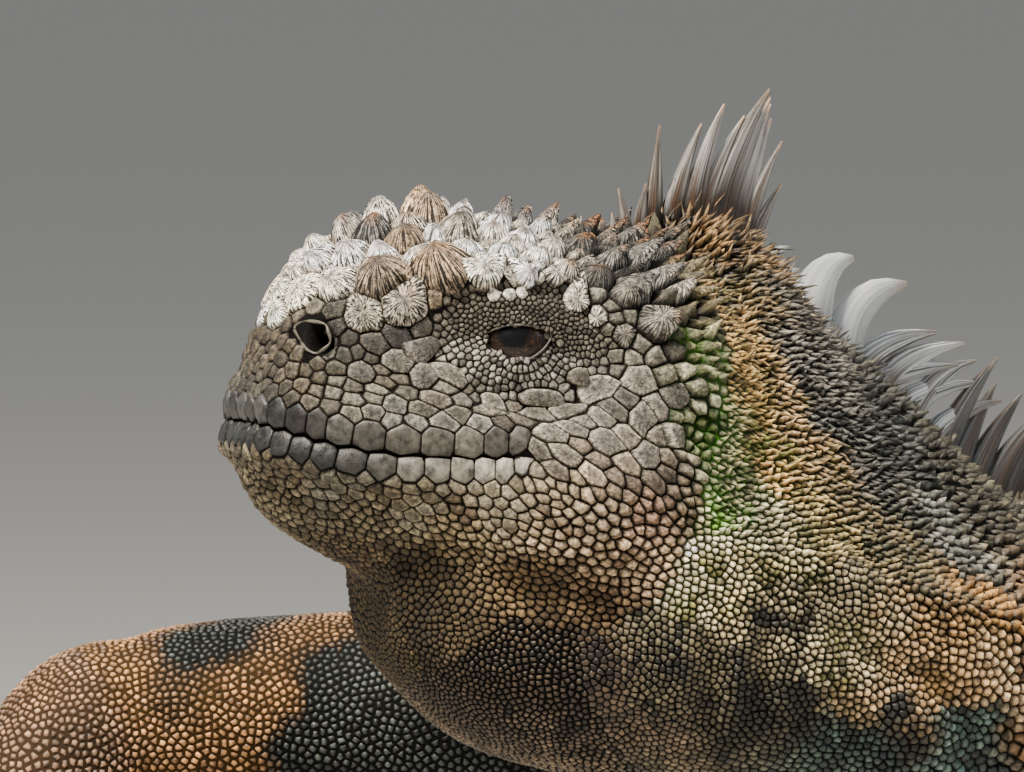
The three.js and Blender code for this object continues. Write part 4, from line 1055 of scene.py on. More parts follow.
at, lie, size, share, turn = rows_round(body_at, 1.0, 21.75, lambda t: np.interp(t, *zip(*BODY_PITCH)))
tints, tall, peak = body_tints(at)
beside_crest = hollow(turn - 0.25, BESIDE_CREST)
tall *= 1 + 0.9 * beside_crest
peak = np.minimum(1, peak + 0.4 * beside_crest)
for name, chosen in (("neck_scales", share < 2.9), ("shoulder_scales", (share >= 2.9) & (share < 4.6)),
                     ("trunk_scales", (share >= 4.6) & (share < 12)), ("tail_scales", share >= 12)):
    sow(name, at[chosen], lie[chosen], size[chosen], 1.05 if name != "tail_scales" else 1.15,
        (1.3 * tall * size)[chosen], peak[chosen], 0.35, tints[chosen], thin=0.84)
for limb, name in zip(limbs, LIMB_NAMES):
    pitch = NEAR_ARM_PITCH if name == "right_arm" else LIMB_PITCH
    palm, fingers, claws = extremity(limb)
    for rows, first, last in ((limb["upper"], 0, 0.5), (limb["lower"], 0.5, 1), (palm, 0.95, 1)):
        end = len(rows) - 1
        at, lie, size, t, turn = rows_round(lambda t, turn: limb_at(rows, t, turn), 0.1, end - 0.1,
                                            lambda t: pitch)
        share = first + (last - first) * t / end + (mottle(at, 14, 14) - 0.5) * 0.2
        tone = np.stack([np.interp(share, limb_stops, column) for column in limb_colours.T], 1)
        sow(name + "_scales", at, lie, size, 1.05, 0.55 * size, 0.55, 0.3,
            tinted(tone[:, :3], tone[:, 3:6], tone[:, 6:], at, 8, 15), thin=0.84)
    for rows in fingers:
        at, lie, size, t, turn = rows_round(lambda t, turn: limb_at(rows, t, turn), 0.1, len(rows) - 1.02,
                                            lambda t: DIGIT_PITCH)
        sow(name + "_digits", at, lie, size, 1.25, 0.55 * size, 0.45, 0.3,
            tinted(*colours(DIGIT_TINTS), at, 8, 16), thin=0.84)

# The roots are put on the skin, those that crowd each other are dropped, gaps are filled, and all
# but the large plates shuffle a little until they lie evenly.
FLOOR_GAP = 1.0
FAR_ROOT = 3.2
CROWN_FROM, CROWN_TO = 9, -24
CROWD_REACH, FIXED_CLEAR = 2.4, 0.42
FULL_RIBS = 0.9
FILLERS, FRONT_FILLERS = 50000, 110000
FRONT_TO, FRONT_FROM = -105, 55
FILLER_SIZE, FILLER_TALL, FILLER_THIN = 1.7, 0.9, 0.74
SHUFFLES, SHUFFLE_STEP = 4, 0.8
NEIGHBOURS = 20
EVENNESS = 0.64
SHORTEST_REACH, LONGEST_REACH = 0.35, 2.2
FINE_TURNS = np.linspace(0, 2 * np.pi, 48, endpoint=False)


def some_of(roots, chosen):
    """The roots that a mask or a list of indices picks."""
    return {key: value[chosen] for key, value in roots.items()}


def tree_of(at):
    """A tree in which the nearest of some places are found."""
    tree = KDTree(len(at))
    for i, p in enumerate(at.tolist()):
        tree.insert(p, i)
    tree.balance()
    return tree


def spread(roots, taken):
    """Which roots stay, going through them in order, when each clears its own neighbourhood."""
    tree = tree_of(roots["at"])
    size, stretch, room = (roots[k].tolist() for k in ("size", "stretch", "thin"))
    at, lie = roots["at"], roots["lie"]
    alive = np.ones(len(at), bool)
    kept = np.zeros(len(at), bool)
    for i in range(len(at)):
        if not alive[i]:
            continue
        kept[i] = True
        reach = room[i] * size[i] * CROWD_REACH * stretch[i]
        near = tree.find_range(at[i].tolist(), reach)
        index = np.array([n[1] for n in near])
        away = at[index] - at[i]
        along = away @ lie[i]
        apart = np.sqrt(np.maximum((away ** 2).sum(1) - along ** 2 * (1 - 1 / stretch[i] ** 2), 0))
        clear = np.where(roots["fixed"][index] * roots["fixed"][i] > 0.5, FIXED_CLEAR, room[i])
        crowded = (apart < clear * (size[i] + roots["size"][index])) & (index > max(i, taken - 1))
        alive[index[crowded]] = False
    return kept


def laid(roots):
    """The roots put on the skin, with what lies far from it or against the floor left out."""
    place, normal, far = settle(roots["at"])
    roots["at"], roots["normal"] = place, normal
    lie = roots["lie"] - normal * (roots["lie"] * normal).sum(1, keepdims=True)
    roots["lie"] = unit(lie)
    return some_of(roots, (far < FAR_ROOT) & (place[:, 2] > FLOOR_GAP + 0.25 * roots["size"]))


def in_openings(local, eye, nostril):
    """Which points of the head lie in the eye's opening or the nostril, taken as ovals that large."""
    away = np.abs(local[:, 1])
    return (((away > EYE_FROM) & (oval(local, EYE, eye, EYE_SHIFT) < 1))
            | ((away > NOSTRIL_FROM) & (oval(local, NOSTRIL, nostril) < 1)))


def by_lips(local, back, above, below):
    """Which points of the head lie where the lip plates stand, with some room round them."""
    over = local[:, 2] - mouth_height(local[:, 0])
    return (local[:, 0] > back) & (over < UPPER_HIGH + above) & (over > -LOWER_HIGH - below)


roots = {key: np.concatenate([np.asarray(b[key]) for b in beds]) for key in beds[0]}
order = np.argsort(roots["fixed"] < 0.5, kind="stable")
roots = laid(some_of(roots, order))
roots = some_of(roots, ~((roots["name"] == "neck_scales") & on_head(roots["at"])))
local = into_head(roots["at"])
crown = (roots["name"] == "face_scales") & (local[:, 2] > CROWN_FROM) & (local[:, 0] > CROWN_TO)
roots["name"] = np.where(crown, "head_bosses", roots["name"])
roots["name"][in_openings(local, (4.4, 2.35), (2.2, 3.0))] = "bare"
roots = some_of(roots, ~(by_lips(local, -2.4, 0.5, 0.4) & (roots["name"] != "lip_plates")))
roots = some_of(roots, spread(roots, 0))
roots["fixed"][roots["name"] == "bare"] = 1
# Where no scale grows, in the eye openings and the nostrils, the tints are darkened to a fifth, so the skin
# below takes painted shade there.
roots["tints"][roots["name"] == "bare"] *= 0.2
roots["thin"][roots["ribs"] > FULL_RIBS] = 1
sown = len(roots["at"])


def nearest(points, at, count=1):
    """The indices of the nearest of some places to each point."""
    tree = tree_of(at)
    return np.array([[n[1] for n in tree.find_n(p, count)] for p in points.tolist()])


fillers = np.concatenate([
    random_roots(FILLERS, lambda p: p[:, 2] > FLOOR_GAP + 0.3),
    random_roots(FRONT_FILLERS, lambda p: (p[:, 0] < FRONT_TO) & (p[:, 2] > FRONT_FROM))])
local = into_head(fillers)
fillers = fillers[~(in_openings(local, (5.0, 2.9), (2.4, 3.2)) | by_lips(local, -2.2, 0.4, 0.3))]
like = nearest(fillers, roots["at"])[:, 0]
more = some_of(roots, like)
more["at"] = fillers
more["size"] = np.minimum(more["size"], FILLER_SIZE) * 0.92
more["tall"] = np.minimum(more["tall"], FILLER_TALL)
more["fixed"][:] = 0
more["ribs"][:] = 0
more["name"] = np.where(more["name"] == "lip_plates", "face_scales", more["name"])
more["tints"] = more["tints"] * np.exp(chance.normal(0, 0.15, (len(like), 1)))
roots = {key: np.concatenate([roots[key], more[key]]) for key in roots}
roots["thin"][sown:] = FILLER_THIN
roots = laid(some_of(roots, spread(roots, sown)))


def cells(roots, near, turn):
    """How far each scale reaches along its spokes before it meets its neighbours: every point of the
    skin goes to the scale that it is nearest to, counted in that scale's own shape and size."""
    spoke = np.stack([np.cos(turn), np.sin(turn)], 1)
    found = []
    for some in np.array_split(np.arange(len(near)), len(near) // 3000 + 1):
        index = near[some, 1:]
        stretch, theirs = roots["stretch"][some], roots["stretch"][index][..., None]
        ahead = roots["lie"][some]
        plane = np.stack([ahead, np.cross(roots["normal"][some], ahead)], 1)
        away = roots["at"][index] - roots["at"][some, None]
        flat = np.einsum("nkc,npc->nkp", away, plane)
        far = np.linalg.norm(flat, axis=2) + 1e-6
        flat *= (np.clip(np.linalg.norm(away, axis=2), far, 1.6 * far) / far)[..., None]
        grain = unit(np.einsum("nkc,npc->nkp", roots["lie"][index], plane))
        along = (flat * grain).sum(2)[..., None]
        out = spoke * np.stack([stretch, np.ones(len(some))], 1)[:, None]
        out_along = np.einsum("nsp,nkp->nks", out, grain)
        gap = along ** 2 / theirs + theirs * ((flat ** 2).sum(2)[..., None] - along ** 2)
        area = roots["size"] ** 2 * roots["stretch"]
        room = np.clip(gap + EVENNESS * (area[some, None] - area[index])[..., None], 0.15 * gap, 1.85 * gap)
        bend = (stretch[:, None, None] - out_along ** 2 / theirs
                - theirs * ((out ** 2).sum(2)[:, None] - out_along ** 2))
        push = (out_along * along / theirs
                + theirs * (np.einsum("nsp,nkp->nks", out, flat) - out_along * along))
        under = push ** 2 + bend * room
        meet = push + np.sqrt(np.maximum(under, 0))
        met = np.where((under >= 0) & (meet > 1e-3), room / np.maximum(meet, 1e-3), 9.0).min(1)
        size = roots["size"][some, None]
        found.append(np.clip(met, SHORTEST_REACH * size, LONGEST_REACH * size))
    return np.concatenate(found)


for _ in range(SHUFFLES):
    near = nearest(roots["at"], roots["at"], NEIGHBOURS)
    reach = cells(roots, near, FINE_TURNS[::4])
    area = (reach ** 2).sum(1)
    a, b = (((reach ** 3 * wave(FINE_TURNS[::4])).sum(1) / area) * (1 - roots["fixed"])
            for wave in (np.cos, np.sin))
    roots["at"] = (roots["at"] + roots["lie"] * (SHUFFLE_STEP * a * roots["stretch"])[:, None]
                   + np.cross(roots["normal"], roots["lie"]) * (SHUFFLE_STEP * b)[:, None])
    roots = laid(roots)
near = nearest(roots["at"], roots["at"], NEIGHBOURS)
roots["reach"] = cells(roots, near, FINE_TURNS)
local = into_head(roots["at"])
over = local[:, 2] - mouth_height(local[:, 0])
to_lips = HEAD_OUT[:3, 2] * (np.sign(-over) * np.maximum(np.abs(over) - LIP_GAP, 0.1))[:, None]
roots["clip"] = np.where((roots["name"] == "lip_plates")[:, None], to_lips, 0)

# The scales themselves: each a closed little form with its foot sunk in the skin. Its rings run
# from the foot up to the tip. The plates of the head have more of them and more spokes.
GROOVE = 0.05
NARROWEST = 0.25
DRAPE = 0.5
RIB_WOBBLE = 0.05
BAKE_PATCH = 0.0015
# Each ring's width and height, as shares of the scale's, for a flat scale and for a pointed one. A
# height of -1 is the foot.
RINGS = {
    1: [((1.0, 0.96), (-1, -1)), ((0.9, 0.46), (0.66, 0.36))],
    2: [((1.0, 0.98), (-1, -1)), ((1.0, 0.94), (0.5, 0.06)), ((0.94, 0.36), (0.92, 0.5))],
    3: [((1.0, 0.98), (-1, -1)), ((1.0, 0.98), (0.5, 0.1)), ((0.98, 0.62), (0.86, 0.42)),
        ((0.74, 0.25), (1.0, 0.78))],
    4: [((1.0, 0.99), (-1, -1)), ((1.0, 1.0), (0.42, 0.05)), ((0.97, 0.82), (0.84, 0.27)),
        ((0.88, 0.56), (0.97, 0.6)), ((0.5, 0.24), (1.0, 0.88))],
}
# How much of the scale's own colour each ring has, and else the groove's dark colour, which is partly painted
# shade. Face plates have pale rims.
OWN_FLAT, OWN_SHARP, OWN_PLAIN = (0, 0.6, 1, 1, 1, 1), (0, 0.1, 0.8, 1, 1, 1), (0, 0.85, 1)
PLATE_TONES = (1, 1.5, 1.75, 0.7, 0.5)


def centre_line(points, count=40):
    """A line through points, in even steps."""
    points = np.asarray(points, float)
    run = run_along(points)
    stops = np.linspace(0, run[-1], count)
    return np.stack([np.interp(stops, run, points[:, i]) for i in range(3)], 1)


def unwrapped(points, lines):
    """Where points lie on a skin's unwrap: along its middle line, and round it."""
    every = np.concatenate(lines)
    ahead = np.concatenate([np.gradient(line, axis=0) for line in lines])
    which = nearest(points, every)[:, 0]
    along = unit(ahead[which])
    side = unit(np.cross(along, (0, 0.01, 1)))
    top = np.cross(side, along)
    away = points - every[which]
    step = (away * along).sum(1) / (np.linalg.norm(ahead[which], axis=1) + 1e-9)
    return np.stack([(which + 0.5 + np.clip(step, -0.5, 0.5)) / len(every),
                     np.arctan2((away * top).sum(1), (away * side).sum(1)) / (2 * np.pi) + 0.5], 1)


def outlines(part, spokes):
    """How far each scale of a lot reaches along its spokes, and the spokes' directions."""
    sector = part["reach"].reshape(len(part["at"]), spokes, -1)
    turned = FINE_TURNS[sector.argmax(2) + np.arange(spokes) * sector.shape[2]]
    size = part["size"][:, None]
    reach = np.maximum(sector.max(2) - GROOVE * (0.6 + 0.4 * size), NARROWEST * size)
    smooth = (np.roll(reach, 1, 1) + np.roll(reach, -1, 1)) / 2
    plated = np.isin(part["name"], ["face_scales", "head_bosses", "lip_plates"])
    corner = np.where(plated, 1.1 + 0.4 * np.clip(part["size"] * 2 - 1, 0, 1), 1.12)
    return np.minimum(reach, smooth * corner[:, None]), np.cos(turned), np.sin(turned)


def by_peak(pair, peak):
    """A value between the one for flat scales and the one for pointed scales."""
    return pair[0] + (pair[1] - pair[0]) * peak


def scales_mesh(chosen, spokes, rings, lines):
    """The arrays of one lot of scales: corners, faces, colours, rise, the plane of each and its place
    on the unwrap."""
    part = some_of(roots, chosen)
    n = len(part["at"])
    reach, cos, sin = outlines(part, spokes)
    ridged = 1 + RIB_WOBBLE * part["ribs"][:, None] * chance.normal(0, 1, (n, spokes)).clip(-1.5, 1.5)
    peak, long, ribbed = part["peak"], part["stretch"][:, None], part["ribs"] > FULL_RIBS
    loose = np.clip(peak - 0.5, 0, 0.5) * (part["fixed"] < 0.5)
    tall = part["tall"] * np.exp(chance.normal(0, 0.08 + 0.3 * loose))
    lean = part["lean"] + chance.normal(0, 0.6, n) * loose
    aside = chance.normal(0, 0.7, n) * loose
    sunk = 0.3 * part["size"] + 0.25
    at, normal, lie = (part[key][:, None] for key in ("at", "normal", "lie"))
    cross = np.cross(normal, lie)
    edge = np.linalg.norm(part["clip"], axis=1)[:, None]
    way = unit(part["clip"])[:, None]
    rim = at + lie * (reach * cos * long)[..., None] + cross * (reach * sin)[..., None]
    under = np.array([hide.find_nearest(p)[0] for p in rim.reshape(-1, 3).tolist()]).reshape(rim.shape)
    drape = ((under - rim) * normal).sum(2).clip(-DRAPE, DRAPE) * (rings > 1)
    last = len(RINGS[rings])
    corners, rise, shade, plane = [], [], [], []
    for k, (wide, high) in enumerate(RINGS[rings] + [((0, 0), (1, 1))]):
        count = spokes if k < last else 1
        width = by_peak(wide, peak)[:, None]
        share = by_peak(high, peak) if k else np.zeros(n)
        up = (tall * share if k else -sunk)[:, None]
        bent = tall * np.maximum(share, 0) ** 1.4
        out = (reach * width * (ridged if k else 1))[:, :count] * (k < last)
        fall = drape[:, :count] * (k < last) * width ** 2
        a = out * cos[:, :count] * long + (lean * bent)[:, None]
        b = out * sin[:, :count] + (aside * bent)[:, None]
        spot = at + lie * a[..., None] + cross * b[..., None] + normal * (up + fall)[..., None]
        over = np.maximum(((spot - at) * way).sum(2) - edge, 0)
        corners.append(spot - way * (over * (edge > 0))[..., None])
        rise.append(np.repeat((share * (0.4 + 0.6 * peak))[:, None], count, 1))
        mix = by_peak((OWN_FLAT[k], OWN_SHARP[k]) if rings > 1 else (OWN_PLAIN[k],) * 2, peak * ~ribbed)
        slope = np.where(ribbed, 0.15, 1.6 * peak - 0.35)
        own = part["tints"][:, :3] * (1.25 - 0.85 * (peak * ~ribbed) + share * slope)[:, None]
        if rings == 3:
            own = own * np.where(part["name"] == "face_scales", PLATE_TONES[k], 1)[:, None]
        tint = part["tints"][:, 3:] * (1 - mix)[:, None] + own * mix[:, None]
        shade.append(np.repeat(tint[:, None], count, 1))
        plane.append(np.stack([a, b, np.repeat(up, count, 1)], 2))
    each = spokes * last + 1
    corners, shade, plane = (np.concatenate(v, 1).reshape(-1, 3) for v in (corners, shade, plane))
    k = np.arange(spokes)
    after = (k + 1) % spokes
    top = (last - 1) * spokes
    quads = np.concatenate([np.stack([r + k, r + after, r + spokes + after, r + spokes + k], 1)
                            for r in range(0, top, spokes)])
    fan = np.stack([top + k, top + after, np.full(spokes, each - 1)], 1)
    loops = np.concatenate([quads.ravel(), fan.ravel(), k[::-1]])
    sizes = np.concatenate([np.full(len(quads), 4), np.full(spokes, 3), [spokes]])
    patch = plane[:, :2].reshape(n, each, 2) / (1.3 * part["size"] * part["stretch"])[:, None, None]
    spots = unwrapped(part["at"], lines)[:, None] + patch * BAKE_PATCH
    return {"corners": corners, "loops": (loops + (np.arange(n) * each)[:, None]).ravel(),
            "sizes": np.tile(sizes, n), "shade": shade, "rise": np.concatenate(rise, 1).ravel(),
            "plane": plane, "spots": spots.reshape(-1, 2)}


def keep(mesh, **attributes):
    """Stores values at the corners of a mesh: tint as colours, rise as numbers and others as vectors."""
    for name, values in attributes.items():
        if name == "tint":
            values = np.concatenate([np.clip(values, 0, 1), np.ones((len(values), 1))], 1)
        kind, field = {"tint": ("FLOAT_COLOR", "color"), "rise": ("FLOAT", "value")}.get(
            name, ("FLOAT_VECTOR", "vector"))
        values = np.asarray(values, np.float32).ravel()
        mesh.attributes.new(name, kind, "POINT").data.foreach_set(field, values)


def piece_of(name, mesh, material):
    """Puts a smooth mesh in the scene as a piece of the animal's one body."""
    mesh.polygons.foreach_set("use_smooth", np.ones(len(mesh.polygons), bool))
    mesh.materials.append(material)
    piece = put(name, mesh)
    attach(piece, "root")
    return piece


def scale_piece(name, chosen, lots, lines, material):
    """One piece of the coat, from lots of scales of different fineness."""
    parts = [scales_mesh(np.nonzero(chosen & lot)[0], spokes, rings, lines)
             for lot, spokes, rings in lots if (chosen & lot).any()]
    starts = np.cumsum([0] + [len(p["corners"]) for p in parts])
    loops = np.concatenate([p["loops"] + s for p, s in zip(parts, starts)]).astype(np.int32)
    whole = {key: np.concatenate([p[key] for p in parts]) for key in parts[0]}
    sizes = whole["sizes"].astype(np.int32)
    mesh = bpy.data.meshes.new(name)
    mesh.vertices.add(len(whole["corners"]))
    mesh.vertices.foreach_set("co", (whole["corners"] * MM).astype(np.float32).ravel())
    mesh.loops.add(len(loops))
    mesh.loops.foreach_set("vertex_index", loops)
    mesh.polygons.add(len(sizes))
    mesh.polygons.foreach_set("loop_start", (np.cumsum(sizes) - sizes).astype(np.int32))
    mesh.polygons.foreach_set("loop_total", sizes)
    mesh.update(calc_edges=True)
    keep(mesh, tint=whole["shade"], rise=whole["rise"], plane=whole["plane"])
    unwrap = mesh.uv_layers.new(name="OFBake")
    unwrap.uv.foreach_set("vector", whole["spots"][loops].astype(np.float32).ravel())
    piece_of(name, mesh, material)


# The keratin's colours are worked out by these few kinds of node.
def times(tree, a, b):
    """Two values multiplied."""
    return node(tree, "Math", {"operation": "MULTIPLY"}, _0=a, _1=b).outputs[0]


def noise(tree, at, size, detail, **more):
    """A cloudy pattern from 0 to 1, at that size."""
    return node(tree, "TexNoise", Vector=at, Scale=1 / size, Detail=detail, **more).outputs[0]


def ramp(tree, value, low, high, first=0.0, last=1.0):
    """A value that goes from first to last where another one goes from low to high."""
    return node(tree, "MapRange", Value=value, From_Min=low, From_Max=high, To_Min=first,
                To_Max=last).outputs[0]


def mixed(tree, share, a, b):
    """A colour between two."""
    return node(tree, "Mix", {"data_type": "RGBA"}, _0=share, _6=a, _7=b).outputs[2]


def stored(tree, name):
    """A value that is stored in the mesh."""
    return node(tree, "Attribute", {"attribute_name": name})


def fanned(tree, flat, turns=1):
    """A flat place as its angle, that many times over, and its distance, and the distance itself."""
    split = node(tree, "SeparateXYZ", _0=flat)
    angle = node(tree, "Math", {"operation": "ARCTAN2"}, _0=split.outputs[1], _1=split.outputs[0])
    far = node(tree, "VectorMath", {"operation": "LENGTH"}, _0=flat).outputs["Value"]
    spin = times(tree, angle.outputs[0], turns)
    return node(tree, "CombineXYZ", _0=spin, _1=far).outputs[0], far


def surface(tree, shader, colour, relief=None, strength=1.0, depth=0.0003):
    """Links a colour to a shader, and a relief that deep."""
    tree.links.new(colour, shader.inputs["Base Color"])
    if relief:
        raised = node(tree, "Bump", Height=relief, Strength=strength, Distance=depth)
        tree.links.new(raised.outputs["Normal"], shader.inputs["Normal"])


SALT = "#dcd5c8"
GRIT = 0.00022
TIP_PATCHES = 0.0042
TIP_RELIEF, RELIEF = 0.0004, 0.00018


def horny(name, salt, grain, rough, stripes=0.0, bump=0.35, tips=None, lines=5.5):
    """Scales' keratin: the scale's own tint, darkened low down as painted shade, blotched finely, with dry
    salt on what faces up. Stripes are ribs that run down from the tip, and tips the two colours of a boss's
    tip."""
    made, tree, shader = new_material(name, Roughness=rough, Specular_IOR_Level=0.4)
    own = stored(tree, "tint").outputs["Color"]
    rise = stored(tree, "rise").outputs["Fac"]
    place = node(tree, "TexCoord").outputs["Object"]
    # The level falls to 0.6 of the tint at each scale's foot: painted shade low between the scales.
    level = times(tree, ramp(tree, noise(tree, place, grain, 5.0, Roughness=0.65), 0.36, 0.64, 0.28, 1.7),
                  ramp(tree, rise, 0.0, 0.5, 0.6, 1.08))
    relief = noise(tree, place, GRIT, 3.0)
    up = node(tree, "SeparateXYZ", _0=node(tree, "NewGeometry").outputs["Normal"]).outputs[2]
    crust = times(tree, ramp(tree, up, -0.15, 0.9),
                  ramp(tree, noise(tree, place, grain * 0.6, 6.0, Roughness=0.75), 0.44, 0.66, 0.0, salt))
    if stripes:
        fan, _ = fanned(tree, stored(tree, "plane").outputs["Vector"], lines)
        ribs = noise(tree, fan, 1 / 1.9, 3.0, Roughness=0.65, Distortion=0.5 if tips else 0.1)
        middle, sharp, bright = (0.51, 0.035, 1.05) if tips else (0.5, 0.075, 0.8)
        level = times(tree, level, ramp(tree, ribs, middle - sharp, middle + sharp, 1 - stripes * 0.86,
                                        1 + stripes * bright))
        crust = times(tree, crust, ramp(tree, ribs, 0.5, 0.58))
        relief = node(tree, "Math", {"operation": "ADD"}, _0=relief, _1=ribs).outputs[0]
    if tips:
        worn = mixed(tree, ramp(tree, noise(tree, place, TIP_PATCHES, 3.0), 0.44, 0.58), linear(tips[0]),
                     linear(tips[1]))
        own = mixed(tree, ramp(tree, rise, 0.5, 0.92, 0.0, 0.8), own, worn)
    shaded = node(tree, "VectorMath", {"operation": "SCALE"}, _0=own, Scale=level).outputs[0]
    surface(tree, shader, mixed(tree, crust, shaded, linear(SALT)), relief, bump,
           TIP_RELIEF if tips else RELIEF)
    return made


horn_bosses = horny("salty_bosses", 0.35, 0.0007, 0.6, stripes=1.1, bump=1.0, tips=("#4d4843", "#8a5620"),
                    lines=5.2)
horn_plates = horny("smooth_plates", 0.12, 0.0014, 0.42, bump=0.4)
horn_face = horny("face_keratin", 0.25, 0.0006, 0.44, stripes=0.6, bump=1.0, lines=4)
horn_body = horny("granular_keratin", 0.12, 0.0012, 0.42, bump=0.6)

head_line = [centre_line(from_head([[-42, 0, -10], [36, 0, -10]]))]
body_line = [centre_line(between(BODY, np.linspace(0, BODY_END, 200))[:, :3], 120)]
LARGE = 0.95
names = roots["name"]
big, wide, every = roots["ribs"] > 0, roots["size"] >= LARGE, names != ""
across = into_head(roots["at"])[:, 1]
# Lots of scales: which ones, and how many spokes and rings each has.
PLAIN, DOMED, SMOOTH = [(every, 6, 1)], [(every, 8, 2)], [(every, 16, 4)]
scale_piece("head_bosses", names == "head_bosses", [(big, 16, 4), (~big, 12, 3)], head_line, horn_bosses)
scale_piece("lip_plates", names == "lip_plates", SMOOTH, head_line, horn_plates)
scale_piece("eyelid_beads", names == "eyelid_beads", DOMED, head_line, horn_face)
for side, half in (("left", across >= 0), ("right", across < 0)):
    scale_piece("face_scales_" + side, (names == "face_scales") & half, [(wide, 12, 3), (~wide, 8, 2)],
                head_line, horn_face)
for side, half, front in (("left", roots["at"][:, 1] < 0, DOMED), ("right", roots["at"][:, 1] >= 0, PLAIN)):
    for name, lots in (("neck_scales", front), ("shoulder_scales", front), ("trunk_scales", PLAIN)):
        scale_piece(name + "_" + side, (names == name) & half, lots, body_line, horn_body)
scale_piece("tail_scales", names == "tail_scales", PLAIN, body_line, horn_body)
for limb, name in zip(limbs, LIMB_NAMES):
    palm, fingers, claws = extremity(limb)
    line = [centre_line([r[:3] for r in limb["upper"][:-1] + limb["lower"][1:]])]
    tips = [centre_line([r[:3] for r in rows], 12) for rows in fingers]
    scale_piece(name + "_scales", names == name + "_scales", PLAIN, line, horn_body)
    scale_piece(name + "_digit_scales", names == name + "_digits", PLAIN, tips, horn_body)

# The skin takes the grooves' colours from the scales that stand on it, darkened to 0.8 as painted shade in
# the grooves.
# The nostrils' hollows are painted near black: painted shade in the deep recess.
NOSTRIL_PAINTED_SHADE = "#0a0706"
groove_of = roots["tints"][nearest(skin_points, roots["at"])[:, 0], 3:] * 0.8
local = into_head(skin_points)
nostril_painted_shade = (np.abs(local[:, 1]) > NOSTRIL_FROM) & (oval(local, NOSTRIL, (1.7, 2.4)) < 1.6)
groove_of[nostril_painted_shade] = colours([NOSTRIL_PAINTED_SHADE])
keep(skin.data, tint=groove_of)
dermis, tree, shader = new_material("leathery_dermis", Roughness=0.75, Specular_IOR_Level=0.1)
creases = noise(tree, node(tree, "TexCoord").outputs["Object"], 0.0006, 4.0)
surface(tree, shader, stored(tree, "tint").outputs["Color"], creases, 0.5)
skin.data.materials.append(dermis)
skin.data.polygons.foreach_set("use_smooth", np.ones(len(skin.data.polygons), bool))
skin.data.transform(Matrix.Scale(MM, 4))
FLESH = [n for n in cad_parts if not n.startswith(("eye", "claw"))]
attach(skin, "root")
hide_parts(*FLESH)

# The crest: curved, flattened spines of dark horn along the midline, long and pale tipped on the
# nape, broad and laid back over the shoulders, then lower and even down the back and the tail.
# Columns of the front ones: the place along the body, how far the tip is up and back, and the foot.
FRONT_SPINES = [
    (1.70, 3, 0.4, 2.2), (1.80, 4.6, -0.6, 2.4), (1.87, 6.8, -1.4, 2.6), (1.95, 6.4, 0.8, 2.6),
    (2.07, 13.4, 1, 3.2), (2.17, 6.5, 2.6, 2.6), (2.24, 12.8, 5.4, 3.6), (2.35, 9.5, 4.4, 3),
    (2.45, 15.4, 5.6, 4.2), (2.58, 14, 8, 3.8), (2.71, 18.2, 10.8, 5), (2.83, 17.6, 10, 4.6),
    (2.95, 17.4, 8.8, 4.4), (3.07, 16, 7.8, 4.2), (3.18, 13.5, 7.4, 3.6), (3.34, 9, 6.6, 3.2),
    (3.62, 3.6, 6.4, 3.4), (3.90, 4.4, 6, 3.4), (4.18, 6, 6.6, 3.8), (4.48, 10.8, 12.6, 10.6),
    (4.95, 11, 17, 10), (5.06, 5.4, 24, 6.4), (5.16, 2.4, 27, 6.4), (5.26, 7.4, 26, 6.4),
    (5.38, 4.4, 26, 6.2), (5.52, 10.8, 21, 6.2), (5.64, 7.6, 23, 5.8),
]
NAPE_TO, NECK_TO = 3.5, 5
# The even runs: from where to where on the body, the step, the first and last spine's height, how
# far they lie back as a share of it, the foot, and the name.
CREST_RUNS = [(5.74, 12.0, 4.8, (15.0, 9.6), 1.15, 6.2, "back_crest"),
              (12.05, 21.6, 6.3, (9.0, 2.0), 0.95, 4.8, "tail_crest")]
SPINE_ROOT = 2.4
SPINE_TIP = 0.15
SPINE_THIN = 0.55
SPINE_CURL = {"neck_crest": 1.5, "shoulder_crest": 1.3}
SPINE_SIDES = 10
SPINE_RINGS = 9
# Each length's colours at the foot, over most of the spine and at the tip.
SPINE_TINTS = {
    "nape_crest": ("#2a2420", "#a09d98", "#f0c8a2"), "neck_crest": ("#b4b7b6", "#dcdfde", "#e3d3bb"),
    "shoulder_crest": ("#686b6a", "#c6cac9", "#d2c6b6"), "back_crest": ("#262623", "#53534f", "#a39c8f"),
    "tail_crest": ("#2a2926", "#4a4844", "#7d776c"),
}
MIDLINE = np.array([0.25])


def mesh_of(name, corners, faces):
    """A mesh of corners and faces that all look outward."""
    mesh = bpy.data.meshes.new(name)
    mesh.from_pydata((corners * MM).tolist(), [], faces)
    turned = bmesh.new()
    turned.from_mesh(mesh)
    bmesh.ops.recalc_face_normals(turned, faces=turned.faces)
    turned.to_mesh(mesh)
    turned.free()
    return mesh


def net_faces(rings, sides, first=0, closed=False):
    """The four-sided faces between rings of corners, and between the last and the first if closed."""
    k = np.arange(sides)
    after = (k + 1) % sides
    r = np.arange(rings if closed else rings - 1)[:, None]
    near, far = r * sides, (r + 1) % rings * sides
    return (np.stack([near + k, far + k, far + after, near + after], 2).reshape(-1, 4) + first).tolist()


